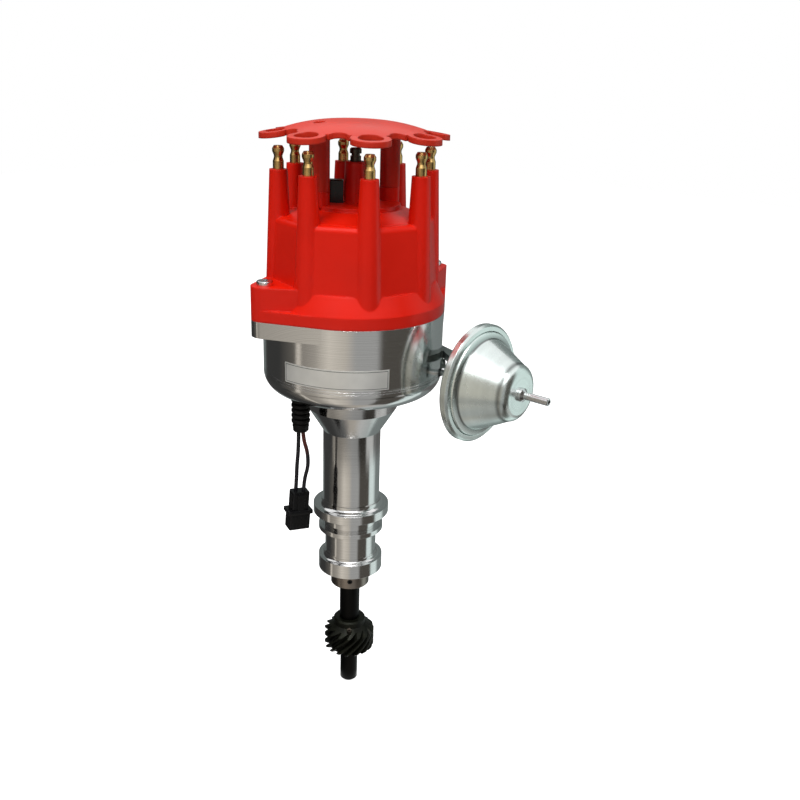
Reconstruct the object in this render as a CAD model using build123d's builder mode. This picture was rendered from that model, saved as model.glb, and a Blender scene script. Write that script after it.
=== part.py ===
# Ignition distributor for an eight cylinder engine, gear driven, with a vacuum canister.
# Millimetres. +Z runs up the shaft. z = 0 is the seat of the hold down flange.
# +X is the direction in which the canister's hose nipple points.
import math
import os

from build123d import *

os.makedirs("parts", exist_ok=True)

# Fits, as clearances on a radius or between two faces
running_fit = 0.05
slip_fit = 0.1
face_gap = 0.1
loose_gap = 0.3
edge_break = 0.6

# Shaft
shaft_radius = 6.35
shaft_tail_radius = 5.57
tail_length = 26.3
shaft_tip_chamfer = 1.4
stud_over_nut = 0.6
shaft_shoulder_radius = 8.5
shaft_shoulder_height = 7.8
shaft_stud_radius = 5.0
hex_socket_flats = 6.35
hex_socket_depth = 16.0

# Housing below the flange
flange_radius = 23.3
flange_height = 5.3
pilot_radius = 20.0
pilot_land = 2.0
ring_groove_radius = 17.0
ring_groove_width = 6.6
lower_land_of_groove = 2.9
neck_radius = 15.9
neck_length = 18.6
foot_length = 8.9
neck_blend = 3.0

# Housing above the flange
shank_radius = 17.45
shank_top = 54.5
shank_blend = 4.0
band_radius = 27.0
cone_length = 15.4
band_length = 12.6
bowl_base_inset = 7.8
bowl_round = 11.4
belly_height = 9.5
bowl_radius = 52.3
bowl_wall = 4.0
bowl_floor_thickness = 5.5
bowl_corner = 5.0
bowl_depth = 42.0
line_groove = 0.35
line_groove_rises = (2.2, 3.6)

# Ears that hold the cap
ear_overhang = 4.7
ear_radius = 7.8
ear_drop = 9.1
ear_angle = -105.6
cap_screw_radius = 2.4

# Bearings
bushing_wall = 3.15
bushing_length = 24.0
bore_clearance = 2.15
washer_thickness = 0.8
bearing_radius = 14.29
bearing_width = 7.94
ball_count = 9
ball_radius = 1.98
bearing_land = 2.55
retaining_ring_thickness = 1.1
retaining_ring_depth = 0.7
ring_plate = 1.0
ring_inset = 1.6
ring_gap = 6.0
bore_taper = 2.0
cage_half_thickness = 0.35
cage_half_height = 0.8

# Collar and gear below the housing
collar_radius = 12.1
collar_length = 11.25
collar_pin_radius = 1.6
front_angle = -48.0
gear_teeth = 16
gear_radius = 16.1
gear_tooth_depth = 3.4
gear_helix = 48.0
gear_slices = 6
gear_hub_radius = 10.15
gear_drop = 26.15
gear_hub_length = 4.2
gear_cone_length = 4.4
gear_face_length = 12.8
gear_pin_radius = 1.6
gear_pin_drop = 0.9
gear_pin_proud = 0.2
gear_chamfer = 1.0
coiled_pin_bore = 0.7

# Cap
cap_lip_height = 6.6
cap_skirt_inset = 5.3
cap_skirt_height = 17.0
cap_facet_inset = 6.3
cap_facet_draft = 2.6
cap_body_height = 53.3
cap_shoulder_round = 3.6
cap_dome_inset = 4.4
cap_deck_rise = 6.7
cap_plateau_inset = 13.5
cap_plateau_step = 2.2
cap_plateau_foot = 1.5
cap_sink = 1.0
cap_roof_rise = 9.0
cap_chamber_draft = 1.6
cap_wall = 4.0
cap_roof_drop = 6.3
cap_ear_height = 19.0
tower_count = 8
tower_turn = 6.88
tower_inset = 0.96
tower_rise = 18.07
tower_top_radius = 4.95
tower_foot_radius = 8.15
facet_foot_rise = 13.0
centre_tower_radius = 5.8
centre_tower_foot_radius = 6.2
centre_tower_rise = 22.4
register_depth = 3.0

# Terminals
stud_radius = 3.0
stud_waist = 2.35
stud_bulb = 3.25
stud_base = 4.3
stud_waist_low = 6.2
stud_waist_high = 7.2
stud_bulb_low = 9.4
stud_bulb_high = 10.9
stud_height = 12.4
terminal_rod_radius = 2.0
electrode_radius = 2.4
electrode_drop = 5.6
electrode_length = 16.0
coil_stud_base = 2.9
coil_stud_neck = 4.3
coil_stud_height = 7.2
button_radius = 2.8
button_length = 7.0
button_proud = 3.0
button_round = 1.2
button_boss_wall = 3.2

# Vent block
vent_length = 8.2
vent_width = 7.0
vent_height = 12.4
vent_reach = 10.6

# Cap screws
cap_screw_head = 4.5
cap_screw_head_height = 2.6
cap_screw_socket = 3.0
cap_screw_socket_depth = 1.6

# Wire retainer
leg_reach = 23.0
leg_radius = 5.65
leg_boss_height = 7.5
retainer_rise = 44.6
plate_thickness = 3.0
plate_flat_radius = 8.0
plate_rim_inset = 1.44
plate_rim_drop = 5.6
plate_tip_drop = 7.6
loop_overhang = 1.56
loop_half_width = 10.6
loop_half_length = 8.8
loop_hole_width = 13.4
loop_hole_length = 10.4
scallop_overhang = 0.96
scallop_radius = 6.2
retainer_disc_inset = 2.44
retainer_screw_radius = 1.7
retainer_screw_head = 3.2
retainer_screw_head_height = 2.2
retainer_screw_depth = 10.0
retainer_screw_recess = 4.4

# Pickup plate and pickup
plate_margin = 8.3
plate_height = 2.0
plate_bearing_radius = 18.5
plate_shelf_radius = 20.5
plate_shelf_height = 3.4
boss_height = 6.2
plate_hole_angles = (150.0, 0.0)
plate_hole_radius = 4.0
clip_angles = (75.0, 195.0, 315.0)
clip_width = 7.0
clip_thickness = 1.2
clip_overlap = 2.0
clip_screw_radius = 1.4
clip_screw_depth = 3.0
clip_screw_head_height = 1.6
pickup_angle = 250.0
pickup_rise = 14.0
air_gap = 0.8
core_radius = 2.2
coil_radius = 5.2
coil_flange_radius = 6.2
coil_flange = 1.0
pole_plate = 1.8
pole_width = 14.0
pole_height = 15.0
pole_corner = 1.5
pole_foot = 1.2
pole_foot_length = 5.0
core_tip = 1.0

# Advance mechanism, turning as one on the shaft
sleeve_radius = 9.5
sleeve_length = 22.0
weight_plate_thickness = 2.5
weight_plate_overhang = 1.0
weight_plate_half_width = 27.5
weight_pin_reach = 24.0
weight_pin_radius = 2.5
weight_pin_neck = 1.8
weight_pin_rise = 4.0
weight_thickness = 5.0
weight_inner = 16.0
weight_outer = 29.0
weight_start = 6.0
weight_end = 140.0
weight_boss = 5.2
weight_lift = 0.5
cam_waist = 8.6
cam_ear_reach = 13.2
cam_ear_radius = 2.2
cam_ear_angle = -55.0
cam_post_radius = 1.3
nut_flats = 12.7
nut_height = 4.0
spring_radius = 2.2
spring_wire = 0.45
spring_hook = 3.2
post_inset = 4.5
post_radius = 3.0
post_angle = 160.0
post_rise = 3.0
post_thread = 8.0
reluctor_rise = 2.0
reluctor_thickness = 3.5
reluctor_hub_radius = 14.0
reluctor_reach = 27.4
reluctor_arm_width = 4.0
reluctor_tab = 1.8
reluctor_height = 9.0

# Rotor
rotor_disc_inset = 6.94
rotor_disc_thickness = 3.0
rotor_shoulder_inset = 11.5
rotor_top_radius = 12.5
rotor_shoulder_rise = 7.0
rotor_height = 24.6
rotor_draft = 2.0
rotor_bevel = 1.0
rotor_arm = 4.0
rotor_arm_width = 11.0
rotor_wall = 5.0
rotor_roof = 2.0
blade_overhang = 4.0
blade_root_radius = 5.0
blade_thickness = 2.4
blade_width = 8.0
spark_gap = 0.75
rotor_screw_radius = 1.9
rotor_screw_head = 3.4
rotor_screw_head_height = 2.0

# Vacuum canister, a turned shape about an axis along +X
canister_side = 25.0
canister_rise = 7.0
rim_radius = 34.0
rear_shell_depth = 9.0
rim_width = 5.5
rim_fold = 1.2
shell_thickness = 1.2
canister_stand_off = 9.2
rear_face_radius = 18.0
rear_knee_depth = 4.5
rear_knee_radius = 25.5
rear_hole_radius = 4.5
front_step_radius = 30.3
cone_foot_step = 1.6
cone_foot_radius = 26.6
front_cone_length = 19.7
cone_nose_radius = 16.6
nose_length = 4.4
nose_face_radius = 12.0
nose_round = 5.5
nose_inset = 0.5
nose_step = 0.9
inner_step = 2.0
nipple_length = 17.95
nipple_radius = 2.2
nipple_bore = 1.25
nipple_collar_radius = 3.9
nipple_collar = 1.6
nipple_cone = 1.5
nipple_swage = 0.9
nipple_lead = 0.4
diaphragm_thickness = 0.8
cup_radius = 12.0
cup_thickness = 1.0
return_spring_radius = 9.0
return_spring_wire = 1.2
rod_width = 6.0
rod_thickness = 1.6
rod_eye_radius = 3.4
rod_hub = 2.0
rod_hub_radius = 3.6
rivet_shank = 2.2
rivet_radius = 3.2
rivet_height = 1.4
lever_radius = 25.0
vacuum_swing = 8.0
right_angle = 90.0
lever_pin_radius = 1.6
lever_head_radius = 2.4
lever_head_height = 0.7
rod_eye_clearance = 0.15

# Canister bracket
bracket_thickness = 1.6
bracket_half_width = 8.0
foot_turn = 17.0
bracket_drop = 5.2
arm_rise = 6.3
arm_thickness = 4.4
arm_half_width = 6.0
tab_radius = 12.0
rod_slot_half_width = 4.2
rod_slot_half_height = 3.0
bracket_screw_spacing = 9.0
bracket_screw_rise = 1.5
bracket_screw_radius = 1.9
bracket_screw_head = 2.9
bracket_screw_head_height = 2.2

# Grommet, leads and plug
grommet_inset = 1.9
grommet_angle = -98.9
grommet_hole = 4.6
grommet_length = 20.5
grommet_sleeve_radius = 4.6
grommet_rib_radius = 5.4
grommet_waist_radius = 4.2
grommet_rib = 3.2
grommet_rib_pitch = 4.4
grommet_rib_count = 3
grommet_sleeve_length = 6.5
grommet_head_radius = 5.6
grommet_head = 1.6
lead_radius = 1.15
lead_exit = 1.3
lead_sink = 2.0
left_bend = 10.0
left_bow = 2.4
left_bow_drop = 22.0
left_rise = 7.0
right_bend = 5.0
right_bow = 3.9
right_bow_drop = 13.5
right_knee = 4.2
right_knee_drop = 23.0
right_rise = 8.0
plug_sink = 1.0
hang_turn = 42.0
plug_shift = -0.9
lead_drop = 38.1
plug_tilt = 4.0
plug_upper_width = 10.4
plug_upper_depth = 7.2
plug_upper_height = 11.6
plug_collar_width = 15.3
plug_collar_depth = 10.0
plug_collar_height = 2.6
plug_lower_width = 12.8
plug_lower_depth = 8.4
plug_lower_height = 10.2
plug_pin_spread = 2.3
plug_pin_radius = 1.2
plug_pin_bore = 0.8
plug_pin_length = 7.0
plug_pin_inset = 0.5
plug_corner = 1.2

# Worked out from the driving sizes
groove_top = -pilot_land
groove_bottom = groove_top - ring_groove_width
upper_land_bottom = groove_bottom - lower_land_of_groove
neck_bottom = upper_land_bottom - neck_length
foot_bottom = neck_bottom - foot_length
foot_radius = pilot_radius - running_fit
washer_top = foot_bottom - face_gap
collar_top = washer_top - washer_thickness - face_gap
collar_bottom = collar_top - collar_length
gear_hub_top = collar_bottom - gear_drop
gear_hub_bottom = gear_hub_top - gear_hub_length
gear_face_top = gear_hub_bottom - gear_cone_length
gear_face_bottom = gear_face_top - gear_face_length
shaft_tip = gear_face_bottom - tail_length
band_bottom = shank_top + cone_length
bowl_bottom = band_bottom + band_length
bowl_floor = bowl_bottom + bowl_floor_thickness
shaft_shoulder_top = bowl_floor + shaft_shoulder_height
bowl_base_radius = bowl_radius - bowl_base_inset
bowl_side_bottom = bowl_bottom + belly_height
seam = bowl_floor + bowl_depth
line_groove_heights = [bowl_side_bottom + rise for rise in line_groove_rises]
ear_reach = bowl_radius + ear_overhang
cap_skirt_radius = bowl_radius - cap_skirt_inset
cap_facet_foot = seam + cap_skirt_height
cap_facet_half_foot = bowl_radius - cap_facet_inset
cap_facet_half_top = cap_facet_half_foot - cap_facet_draft
cap_shoulder = seam + cap_body_height
cap_dome_radius = cap_facet_half_top - cap_dome_inset
cap_deck = cap_shoulder + cap_deck_rise
cap_plateau_radius = cap_dome_radius - cap_plateau_inset
cap_deck_foot_radius = cap_plateau_radius + cap_plateau_foot
cap_roof = cap_shoulder - cap_roof_drop
cap_ear_top = seam + cap_ear_height
tower_pitch = cap_facet_half_top - tower_inset
tower_top = cap_deck + tower_rise
tower_foot = seam + facet_foot_rise
centre_tower_top = cap_deck + centre_tower_rise
sleeve_bottom = shaft_shoulder_top + 2 * slip_fit
weight_plate_bottom = sleeve_bottom + sleeve_length
weight_plate_top = weight_plate_bottom + weight_plate_thickness
cam_bottom = weight_plate_top + weight_lift
cam_top = cam_bottom + weight_thickness
weight_pin_top = cam_top + weight_pin_rise
post_top = weight_pin_top + post_rise
rotor_top = post_top + rotor_height
electrode_bottom = rotor_top - electrode_drop
electrode_top = electrode_bottom + electrode_length
leg_joint = cap_deck + leg_boss_height
plate_crown = cap_deck + retainer_rise
plate_rim_radius = tower_pitch - plate_rim_inset
loop_reach = tower_pitch + loop_overhang
scallop_reach = tower_pitch + scallop_overhang
retainer_disc_radius = tower_pitch - retainer_disc_inset
bowl_inner = bowl_radius - bowl_wall
plate_radius = bowl_inner - plate_margin
plate_shelf = bowl_floor + plate_shelf_height
boss_top = bowl_floor + boss_height
pickup_height = bowl_floor + pickup_rise
reluctor_bottom = sleeve_bottom + reluctor_rise
reluctor_top = reluctor_bottom + reluctor_height
rotor_disc_radius = tower_pitch - rotor_disc_inset
weight_plate_radius = rotor_disc_radius + weight_plate_overhang
post_reach = rotor_disc_radius - post_inset
rotor_shoulder_radius = rotor_disc_radius - rotor_shoulder_inset
rotor_hollow_radius = rotor_shoulder_radius - rotor_wall
rotor_shoulder = post_top + rotor_shoulder_rise
rotor_hollow_top = rotor_shoulder - rotor_roof
canister_height = bowl_floor + canister_rise
rear_face = bowl_radius + canister_stand_off
rear_knee = rear_face + rear_knee_depth
rim_back = rear_face + rear_shell_depth
rim_front = rim_back + rim_width
cone_foot = rim_front + cone_foot_step
cone_nose = cone_foot + front_cone_length
nose_face = cone_nose + nose_length
nipple_tip = nose_face + nipple_length
bracket_bottom = canister_height - bracket_drop
arm_bottom = canister_height + arm_rise
bracket_screw_height = canister_height + bracket_screw_rise
grommet_reach = plate_radius - grommet_inset
grommet_bottom = bowl_bottom - grommet_length
grommet_sleeve_top = grommet_bottom + grommet_sleeve_length
plug_top = grommet_bottom - lead_drop
bore_radius = shaft_radius + bore_clearance
bushing_radius = shaft_radius + running_fit + bushing_wall
ear_angles = (ear_angle, ear_angle + 180.0)
bushing_top = foot_bottom + bushing_length
bearing_bottom = bowl_floor - bearing_width
ball_pitch = (shaft_radius + bearing_radius) / 2
weight_bottom = weight_plate_top + weight_lift
spring_height = cam_top + weight_lift + spring_radius
plate_bottom = plate_shelf + face_gap
plate_top = plate_bottom + plate_height
clip_top = plate_top + slip_fit + clip_thickness
clip_screw_reach = (plate_radius + bowl_inner) / 2
clip_screw_end = bowl_floor - clip_screw_depth
cap_lip_top = seam + cap_lip_height
stud_bottom = leg_joint - retainer_screw_depth
rod_bottom = canister_height - rod_thickness / 2
blade_bottom = rotor_top
blade_top = blade_bottom + blade_thickness
blade_reach = tower_pitch - electrode_radius - spark_gap
button_bottom = blade_top + face_gap
diaphragm_back = (rim_back + rim_front) / 2 - diaphragm_thickness / 2
diaphragm_front = diaphragm_back + diaphragm_thickness
lever_start = right_angle + vacuum_swing / 2
bracket_angle = math.degrees(math.asin(canister_side / bowl_radius)) + foot_turn
bracket_seat = bowl_radius - bracket_thickness - face_gap
bracket_top = arm_bottom + arm_thickness
leg_top = plate_crown - plate_thickness
standing = (Align.CENTER, Align.CENTER, Align.MIN)
register_wall = 2.4
button_boss_radius = button_radius + button_boss_wall
blade_angle = tower_turn
screw_seat = plate_crown - retainer_screw_recess
rod_end = diaphragm_back - cup_thickness - rod_hub
nose_inner = nose_face - shell_thickness
plug_length = plug_upper_height + plug_collar_height + plug_lower_height
plug_steps = (
    (plug_upper_width, plug_upper_depth, 0, -plug_upper_height),
    (plug_collar_width, plug_collar_depth, -plug_upper_height, -plug_upper_height - plug_collar_height),
    (plug_lower_width, plug_lower_depth, -plug_upper_height - plug_collar_height, -plug_length),
)
collar_pin_height = (collar_top + collar_bottom) / 2
gear_pin_height = gear_hub_bottom - gear_pin_drop
gear_pin_reach = gear_hub_radius + gear_pin_proud
gear_root_radius = gear_radius - gear_tooth_depth
gear_flanks = ((0.0, gear_root_radius), (0.22, gear_root_radius), (0.42, gear_radius), (0.70, gear_radius))


def keep(block, label):
    """Names the finished piece and writes it."""
    block.part.label = label
    export_step(block.part, f"parts/{label}.step")


def along(angle, reach, height=0.0):
    """A point at an angle and a distance from the shaft's axis."""
    return Vector(reach * math.cos(math.radians(angle)), reach * math.sin(math.radians(angle)), height)


def outward(angle, reach, height):
    """A plane facing away from the shaft, its own y pointing up."""
    turn = math.radians(angle)
    facing = (math.cos(turn), math.sin(turn), 0)
    return Plane(origin=along(angle, reach, height), x_dir=(-math.sin(turn), math.cos(turn), 0), z_dir=facing)


def step(radius, low, high, hole=0.0, at=None, mode=Mode.ADD):
    """A round step of the active piece, between two heights, on the shaft's axis or at a spot."""
    with BuildSketch(Plane.XY.offset(low)) as face:
        with Locations((at.X, at.Y) if at else (0, 0)):
            Circle(radius)
            if hole:
                Circle(hole, mode=Mode.SUBTRACT)
    extrude(face.sketch, amount=high - low, mode=mode)


def turned(points, plane=Plane.XZ, axis=Axis.Z, mode=Mode.ADD):
    """A turned form of the active piece, from its closed half outline."""
    with BuildSketch(plane) as face:
        with BuildLine():
            Polyline(points, close=True)
        make_face()
    revolve(face.sketch, axis=axis, mode=mode)


def rod_along(plane, radius, length, hole=0.0, mode=Mode.ADD):
    """A round bar of the active piece, standing on a plane."""
    with BuildSketch(plane) as face:
        Circle(radius)
        if hole:
            Circle(hole, mode=Mode.SUBTRACT)
    extrude(face.sketch, amount=length, mode=mode)


def tower_spots():
    """The towers' places about the shaft."""
    return PolarLocations(tower_pitch, tower_count, start_angle=tower_turn)


def on_plug(across, up):
    """A point beside the plug's top, in the plane that the leads hang in."""
    lean = math.radians(plug_tilt)
    shift = plug_shift + across * math.cos(lean) + up * math.sin(lean)
    return (shift, plug_top - across * math.sin(lean) + up * math.cos(lean))


# Planes and axes shared by several pieces
canister_axis = Axis((0, canister_side, canister_height), (1, 0, 0))
rod_plane = Plane(origin=(0, canister_side, canister_height), x_dir=(0, 1, 0), z_dir=(1, 0, 0))
canister_plane = Plane(origin=(0, canister_side, canister_height), x_dir=(1, 0, 0), z_dir=(0, -1, 0))
bracket_plane = outward(bracket_angle, bracket_seat, bracket_screw_height)
grommet_spot = along(grommet_angle, grommet_reach)
vent_spot = along(hang_turn + 180, vent_reach)
hang_direction = along(hang_turn, 1)
hang_plane = Plane(origin=grommet_spot, x_dir=hang_direction, z_dir=along(hang_turn - 90, 1))
plug_middle = hang_plane.from_local_coords(on_plug(0, 0))
plug_up = hang_plane.from_local_coords(on_plug(0, 1)) - plug_middle
plug_across = hang_plane.from_local_coords(on_plug(1, 0)) - plug_middle
plug_plane = Plane(origin=plug_middle, x_dir=plug_across, z_dir=plug_up)
plug_axis = Axis(plug_middle, plug_up)
bracket_middle = outward(bracket_angle, bracket_seat, (bracket_bottom + bracket_top) / 2)


# Turned and milled aluminium housing
with BuildPart() as housing:
    with BuildSketch(Plane.XZ):
        with BuildLine():
            foot = Polyline(
                (bushing_radius, foot_bottom),
                (foot_radius, foot_bottom),
                (foot_radius, neck_bottom),
                (neck_radius + neck_blend, neck_bottom),
            )
            blend = RadiusArc(foot @ 1, (neck_radius, neck_bottom + neck_blend), neck_blend)
            pilot = Polyline(
                blend @ 1,
                (neck_radius, upper_land_bottom),
                (pilot_radius, upper_land_bottom),
                (pilot_radius, groove_bottom),
                (ring_groove_radius, groove_bottom),
                (ring_groove_radius, groove_top),
                (pilot_radius, groove_top),
                (pilot_radius, 0),
                (flange_radius, 0),
                (flange_radius, flange_height),
                (shank_radius + shank_blend, flange_height),
            )
            root = RadiusArc(pilot @ 1, (shank_radius, flange_height + shank_blend), shank_blend)
            shank = Polyline(
                root @ 1,
                (shank_radius, shank_top),
                (band_radius, band_bottom),
                (band_radius, bowl_bottom),
                (bowl_base_radius, bowl_bottom),
            )
            belly = RadiusArc(shank @ 1, (bowl_radius, bowl_side_bottom), -bowl_round)
            rim = Polyline(
                belly @ 1,
                (bowl_radius, seam),
                (bowl_inner, seam),
                (bowl_inner, bowl_floor + bowl_corner),
            )
            corner = Line(rim @ 1, (bowl_inner - bowl_corner, bowl_floor))
            Polyline(
                corner @ 1,
                (plate_shelf_radius, bowl_floor),
                (plate_shelf_radius, plate_shelf),
                (plate_bearing_radius, plate_shelf),
                (plate_bearing_radius, boss_top),
                (bearing_radius, boss_top),
                (bearing_radius, bearing_bottom),
                (bearing_radius - bore_taper, bearing_bottom),
                (bore_radius, bearing_bottom - bore_taper),
                (bore_radius, bushing_top),
                (bushing_radius, bushing_top),
                (bushing_radius, foot_bottom),
            )
        make_face()
    revolve(axis=Axis.Z)
    with BuildSketch(Plane.XY.offset(seam)):
        for angle in ear_angles:
            with BuildSketch(mode=Mode.PRIVATE) as lug:
                Circle(bowl_radius)
                with Locations(along(angle, ear_reach)):
                    Circle(ear_radius)
                make_hull()
            add(lug.sketch)
        Circle(bowl_inner, mode=Mode.SUBTRACT)
    extrude(amount=-ear_drop)
    with Locations(*[along(angle, ear_reach, seam) for angle in ear_angles]):
        Hole(cap_screw_radius, depth=ear_drop)
    for height in line_groove_heights:
        low, high = height - line_groove, height + line_groove
        step(bowl_radius + 1, low, high, hole=bowl_radius - line_groove, mode=Mode.SUBTRACT)
    ring_seat = bearing_radius + retaining_ring_depth
    step(ring_seat, bowl_floor, bowl_floor + retaining_ring_thickness, mode=Mode.SUBTRACT)
    step(grommet_hole, bowl_bottom, bowl_floor, at=grommet_spot, mode=Mode.SUBTRACT)
    # Flat milled in the wall for the canister's bracket
    with BuildSketch(bracket_middle):
        Rectangle(2 * bracket_half_width + slip_fit, bracket_top - bracket_bottom + slip_fit)
    extrude(amount=bowl_wall, mode=Mode.SUBTRACT)
    # Slot for the vacuum rod
    with BuildSketch(rod_plane):
        Rectangle(2 * rod_slot_half_width, 2 * rod_slot_half_height)
    extrude(amount=bowl_radius, mode=Mode.SUBTRACT)
    with BuildSketch(bracket_plane):
        with GridLocations(bracket_screw_spacing, 1, 2, 1):
            Circle(bracket_screw_radius)
    extrude(amount=-bowl_wall, mode=Mode.SUBTRACT)
    # Blind holes for the clips' screws
    for angle in clip_angles:
        spot = along(angle, clip_screw_reach)
        step(clip_screw_radius, clip_screw_end, bowl_floor + bowl_corner, at=spot, mode=Mode.SUBTRACT)
keep(housing, "housing")


# Sintered bushing at the foot of the housing
with BuildPart() as lower_bushing:
    step(bushing_radius, foot_bottom, bushing_top, hole=shaft_radius + running_fit)
keep(lower_bushing, "lower_bushing")

# Thrust washer between the housing's foot and the collar
with BuildPart() as thrust_washer:
    washer_bottom = washer_top - washer_thickness
    step(collar_radius - edge_break, washer_bottom, washer_top, hole=shaft_radius + running_fit)
keep(thrust_washer, "thrust_washer")

# Upper ball bearing
with BuildPart() as bearing_outer:
    step(bearing_radius, bearing_bottom, bowl_floor, hole=bearing_radius - bearing_land)
    with Locations((0, 0, bowl_floor - bearing_width / 2)):
        Torus(ball_pitch, ball_radius + running_fit, mode=Mode.SUBTRACT)
keep(bearing_outer, "bearing_outer")

with BuildPart() as bearing_inner:
    step(shaft_radius + bearing_land, bearing_bottom, bowl_floor, hole=shaft_radius)
    with Locations((0, 0, bowl_floor - bearing_width / 2)):
        Torus(ball_pitch, ball_radius + running_fit, mode=Mode.SUBTRACT)
keep(bearing_inner, "bearing_inner")

# Balls in their riveted ribbon cage
with BuildPart() as bearing_balls:
    cage_middle = bowl_floor - bearing_width / 2
    step(
        ball_pitch + cage_half_thickness,
        cage_middle - cage_half_height,
        cage_middle + cage_half_height,
        hole=ball_pitch - cage_half_thickness,
    )
    with Locations((0, 0, cage_middle)):
        with PolarLocations(ball_pitch, ball_count):
            Sphere(ball_radius)
keep(bearing_balls, "bearing_balls")

with BuildPart() as retaining_ring:
    ring_low = bowl_floor + (retaining_ring_thickness - ring_plate) / 2
    step(ring_seat - slip_fit, ring_low, ring_low + ring_plate, hole=bearing_radius - ring_inset)
    with BuildSketch(Plane.XY.offset(ring_low)):
        with Locations((bearing_radius, 0)):
            Rectangle(ring_gap, ring_gap)
    extrude(amount=ring_plate, mode=Mode.SUBTRACT)
keep(retaining_ring, "retaining_ring")


# Shaft, stepped at both ends, with a hexagonal socket for the oil pump rod
with BuildPart() as drive_shaft:
    step(shaft_tail_radius, shaft_tip, gear_face_bottom)
    step(shaft_radius, gear_face_bottom, cam_bottom)
    step(shaft_shoulder_radius, bowl_floor, shaft_shoulder_top)
    step(shaft_stud_radius, cam_bottom, cam_top + nut_height + stud_over_nut)
    chamfer(drive_shaft.edges().group_by(Axis.Z)[0], length=shaft_tip_chamfer)
    with BuildSketch(Plane.XY.offset(shaft_tip)):
        RegularPolygon(hex_socket_flats / 2, 6, major_radius=False)
    extrude(amount=hex_socket_depth, mode=Mode.SUBTRACT)
    for height, radius in ((collar_pin_height, collar_pin_radius), (gear_pin_height, gear_pin_radius)):
        with BuildSketch(outward(front_angle, -collar_radius, height)):
            Circle(radius)
        extrude(amount=2 * collar_radius, mode=Mode.SUBTRACT)
keep(drive_shaft, "drive_shaft")

with BuildPart() as shaft_collar:
    step(collar_radius, collar_bottom, collar_top, hole=shaft_radius)
    chamfer(shaft_collar.edges().filter_by(GeomType.CIRCLE).sort_by(SortBy.RADIUS)[-2:], length=edge_break)
    with BuildSketch(outward(front_angle, -collar_radius, collar_pin_height)):
        Circle(collar_pin_radius)
    extrude(amount=2 * collar_radius, mode=Mode.SUBTRACT)
keep(shaft_collar, "shaft_collar")

# Coiled pins, flush with the curved faces they hold
with BuildPart() as collar_pin:
    with BuildSketch(outward(front_angle, -collar_radius, collar_pin_height)):
        Circle(collar_pin_radius)
        Circle(coiled_pin_bore, mode=Mode.SUBTRACT)
    extrude(amount=2 * collar_radius)
    step(collar_radius - face_gap, collar_bottom, collar_top, mode=Mode.INTERSECT)
keep(collar_pin, "collar_pin")

with BuildPart() as gear_pin:
    with BuildSketch(outward(front_angle, -gear_pin_reach, gear_pin_height)):
        Circle(gear_pin_radius)
        Circle(coiled_pin_bore, mode=Mode.SUBTRACT)
    extrude(amount=2 * gear_pin_reach)
keep(gear_pin, "gear_pin")

# Helical gear: toothed rings turned step by step up the helix and joined by flat triangles,
# then turned down to the blank with its coned shoulder
with BuildPart() as drive_gear:
    shoulder_height = gear_hub_bottom - gear_face_bottom
    twist = math.degrees(shoulder_height * math.tan(math.radians(gear_helix)) / gear_radius)
    pitch_turn = 360 / gear_teeth
    rings = [
        [
            along(
                (tooth + offset) * pitch_turn + number / gear_slices * twist,
                radius,
                gear_face_bottom + number / gear_slices * shoulder_height,
            )
            for tooth in range(gear_teeth)
            for offset, radius in gear_flanks
        ]
        for number in range(gear_slices + 1)
    ]
    outlines = [rings[0], rings[-1]]
    for low, high in zip(rings, rings[1:]):
        for here, after in zip(range(len(low)), [*range(1, len(low)), 0]):
            outlines.append([low[here], low[after], high[here]])
            outlines.append([low[after], high[after], high[here]])
    faces = [Face(Wire.make_polygon(outline)) for outline in outlines]
    add(Solid(Shell(faces)))
    turned(
        [
            (0, gear_face_bottom),
            (gear_radius - gear_chamfer, gear_face_bottom),
            (gear_radius, gear_face_bottom + gear_chamfer),
            (gear_radius, gear_face_top),
            (gear_hub_radius, gear_hub_bottom),
            (0, gear_hub_bottom),
        ],
        mode=Mode.INTERSECT,
    )
    turned(
        [
            (0, gear_face_bottom),
            (gear_root_radius, gear_face_bottom),
            (gear_root_radius, gear_face_top),
            (gear_hub_radius, gear_hub_bottom),
            (gear_hub_radius, gear_hub_top - gear_chamfer),
            (gear_hub_radius - gear_chamfer, gear_hub_top),
            (0, gear_hub_top),
        ]
    )
    step(shaft_radius, gear_face_bottom, gear_hub_top, mode=Mode.SUBTRACT)
    with BuildSketch(outward(front_angle, -gear_radius, gear_pin_height)):
        Circle(gear_pin_radius)
    extrude(amount=2 * gear_radius, mode=Mode.SUBTRACT)
keep(drive_gear, "drive_gear")


# Turning part of the advance: sleeve, weight plate and the posts that carry the rotor
with BuildPart() as advance_carrier:
    step(sleeve_radius, sleeve_bottom, weight_plate_bottom)
    with BuildSketch(Plane.XY.offset(weight_plate_bottom)):
        Circle(weight_plate_radius)
        Rectangle(2 * weight_plate_radius, 2 * weight_plate_half_width, mode=Mode.INTERSECT)
    extrude(amount=weight_plate_thickness)
    for turn in (0, 180):
        spot = along(post_angle + turn, post_reach)
        step(post_radius, weight_plate_bottom, post_top, at=spot)
        step(rotor_screw_radius, post_top - post_thread, post_top, at=spot, mode=Mode.SUBTRACT)
        spot = along(turn, weight_pin_reach)
        step(weight_pin_radius, weight_plate_bottom, weight_plate_top, at=spot, mode=Mode.SUBTRACT)
    step(shaft_radius + running_fit, sleeve_bottom, weight_plate_top, mode=Mode.SUBTRACT)
keep(advance_carrier, "advance_carrier")

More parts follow.
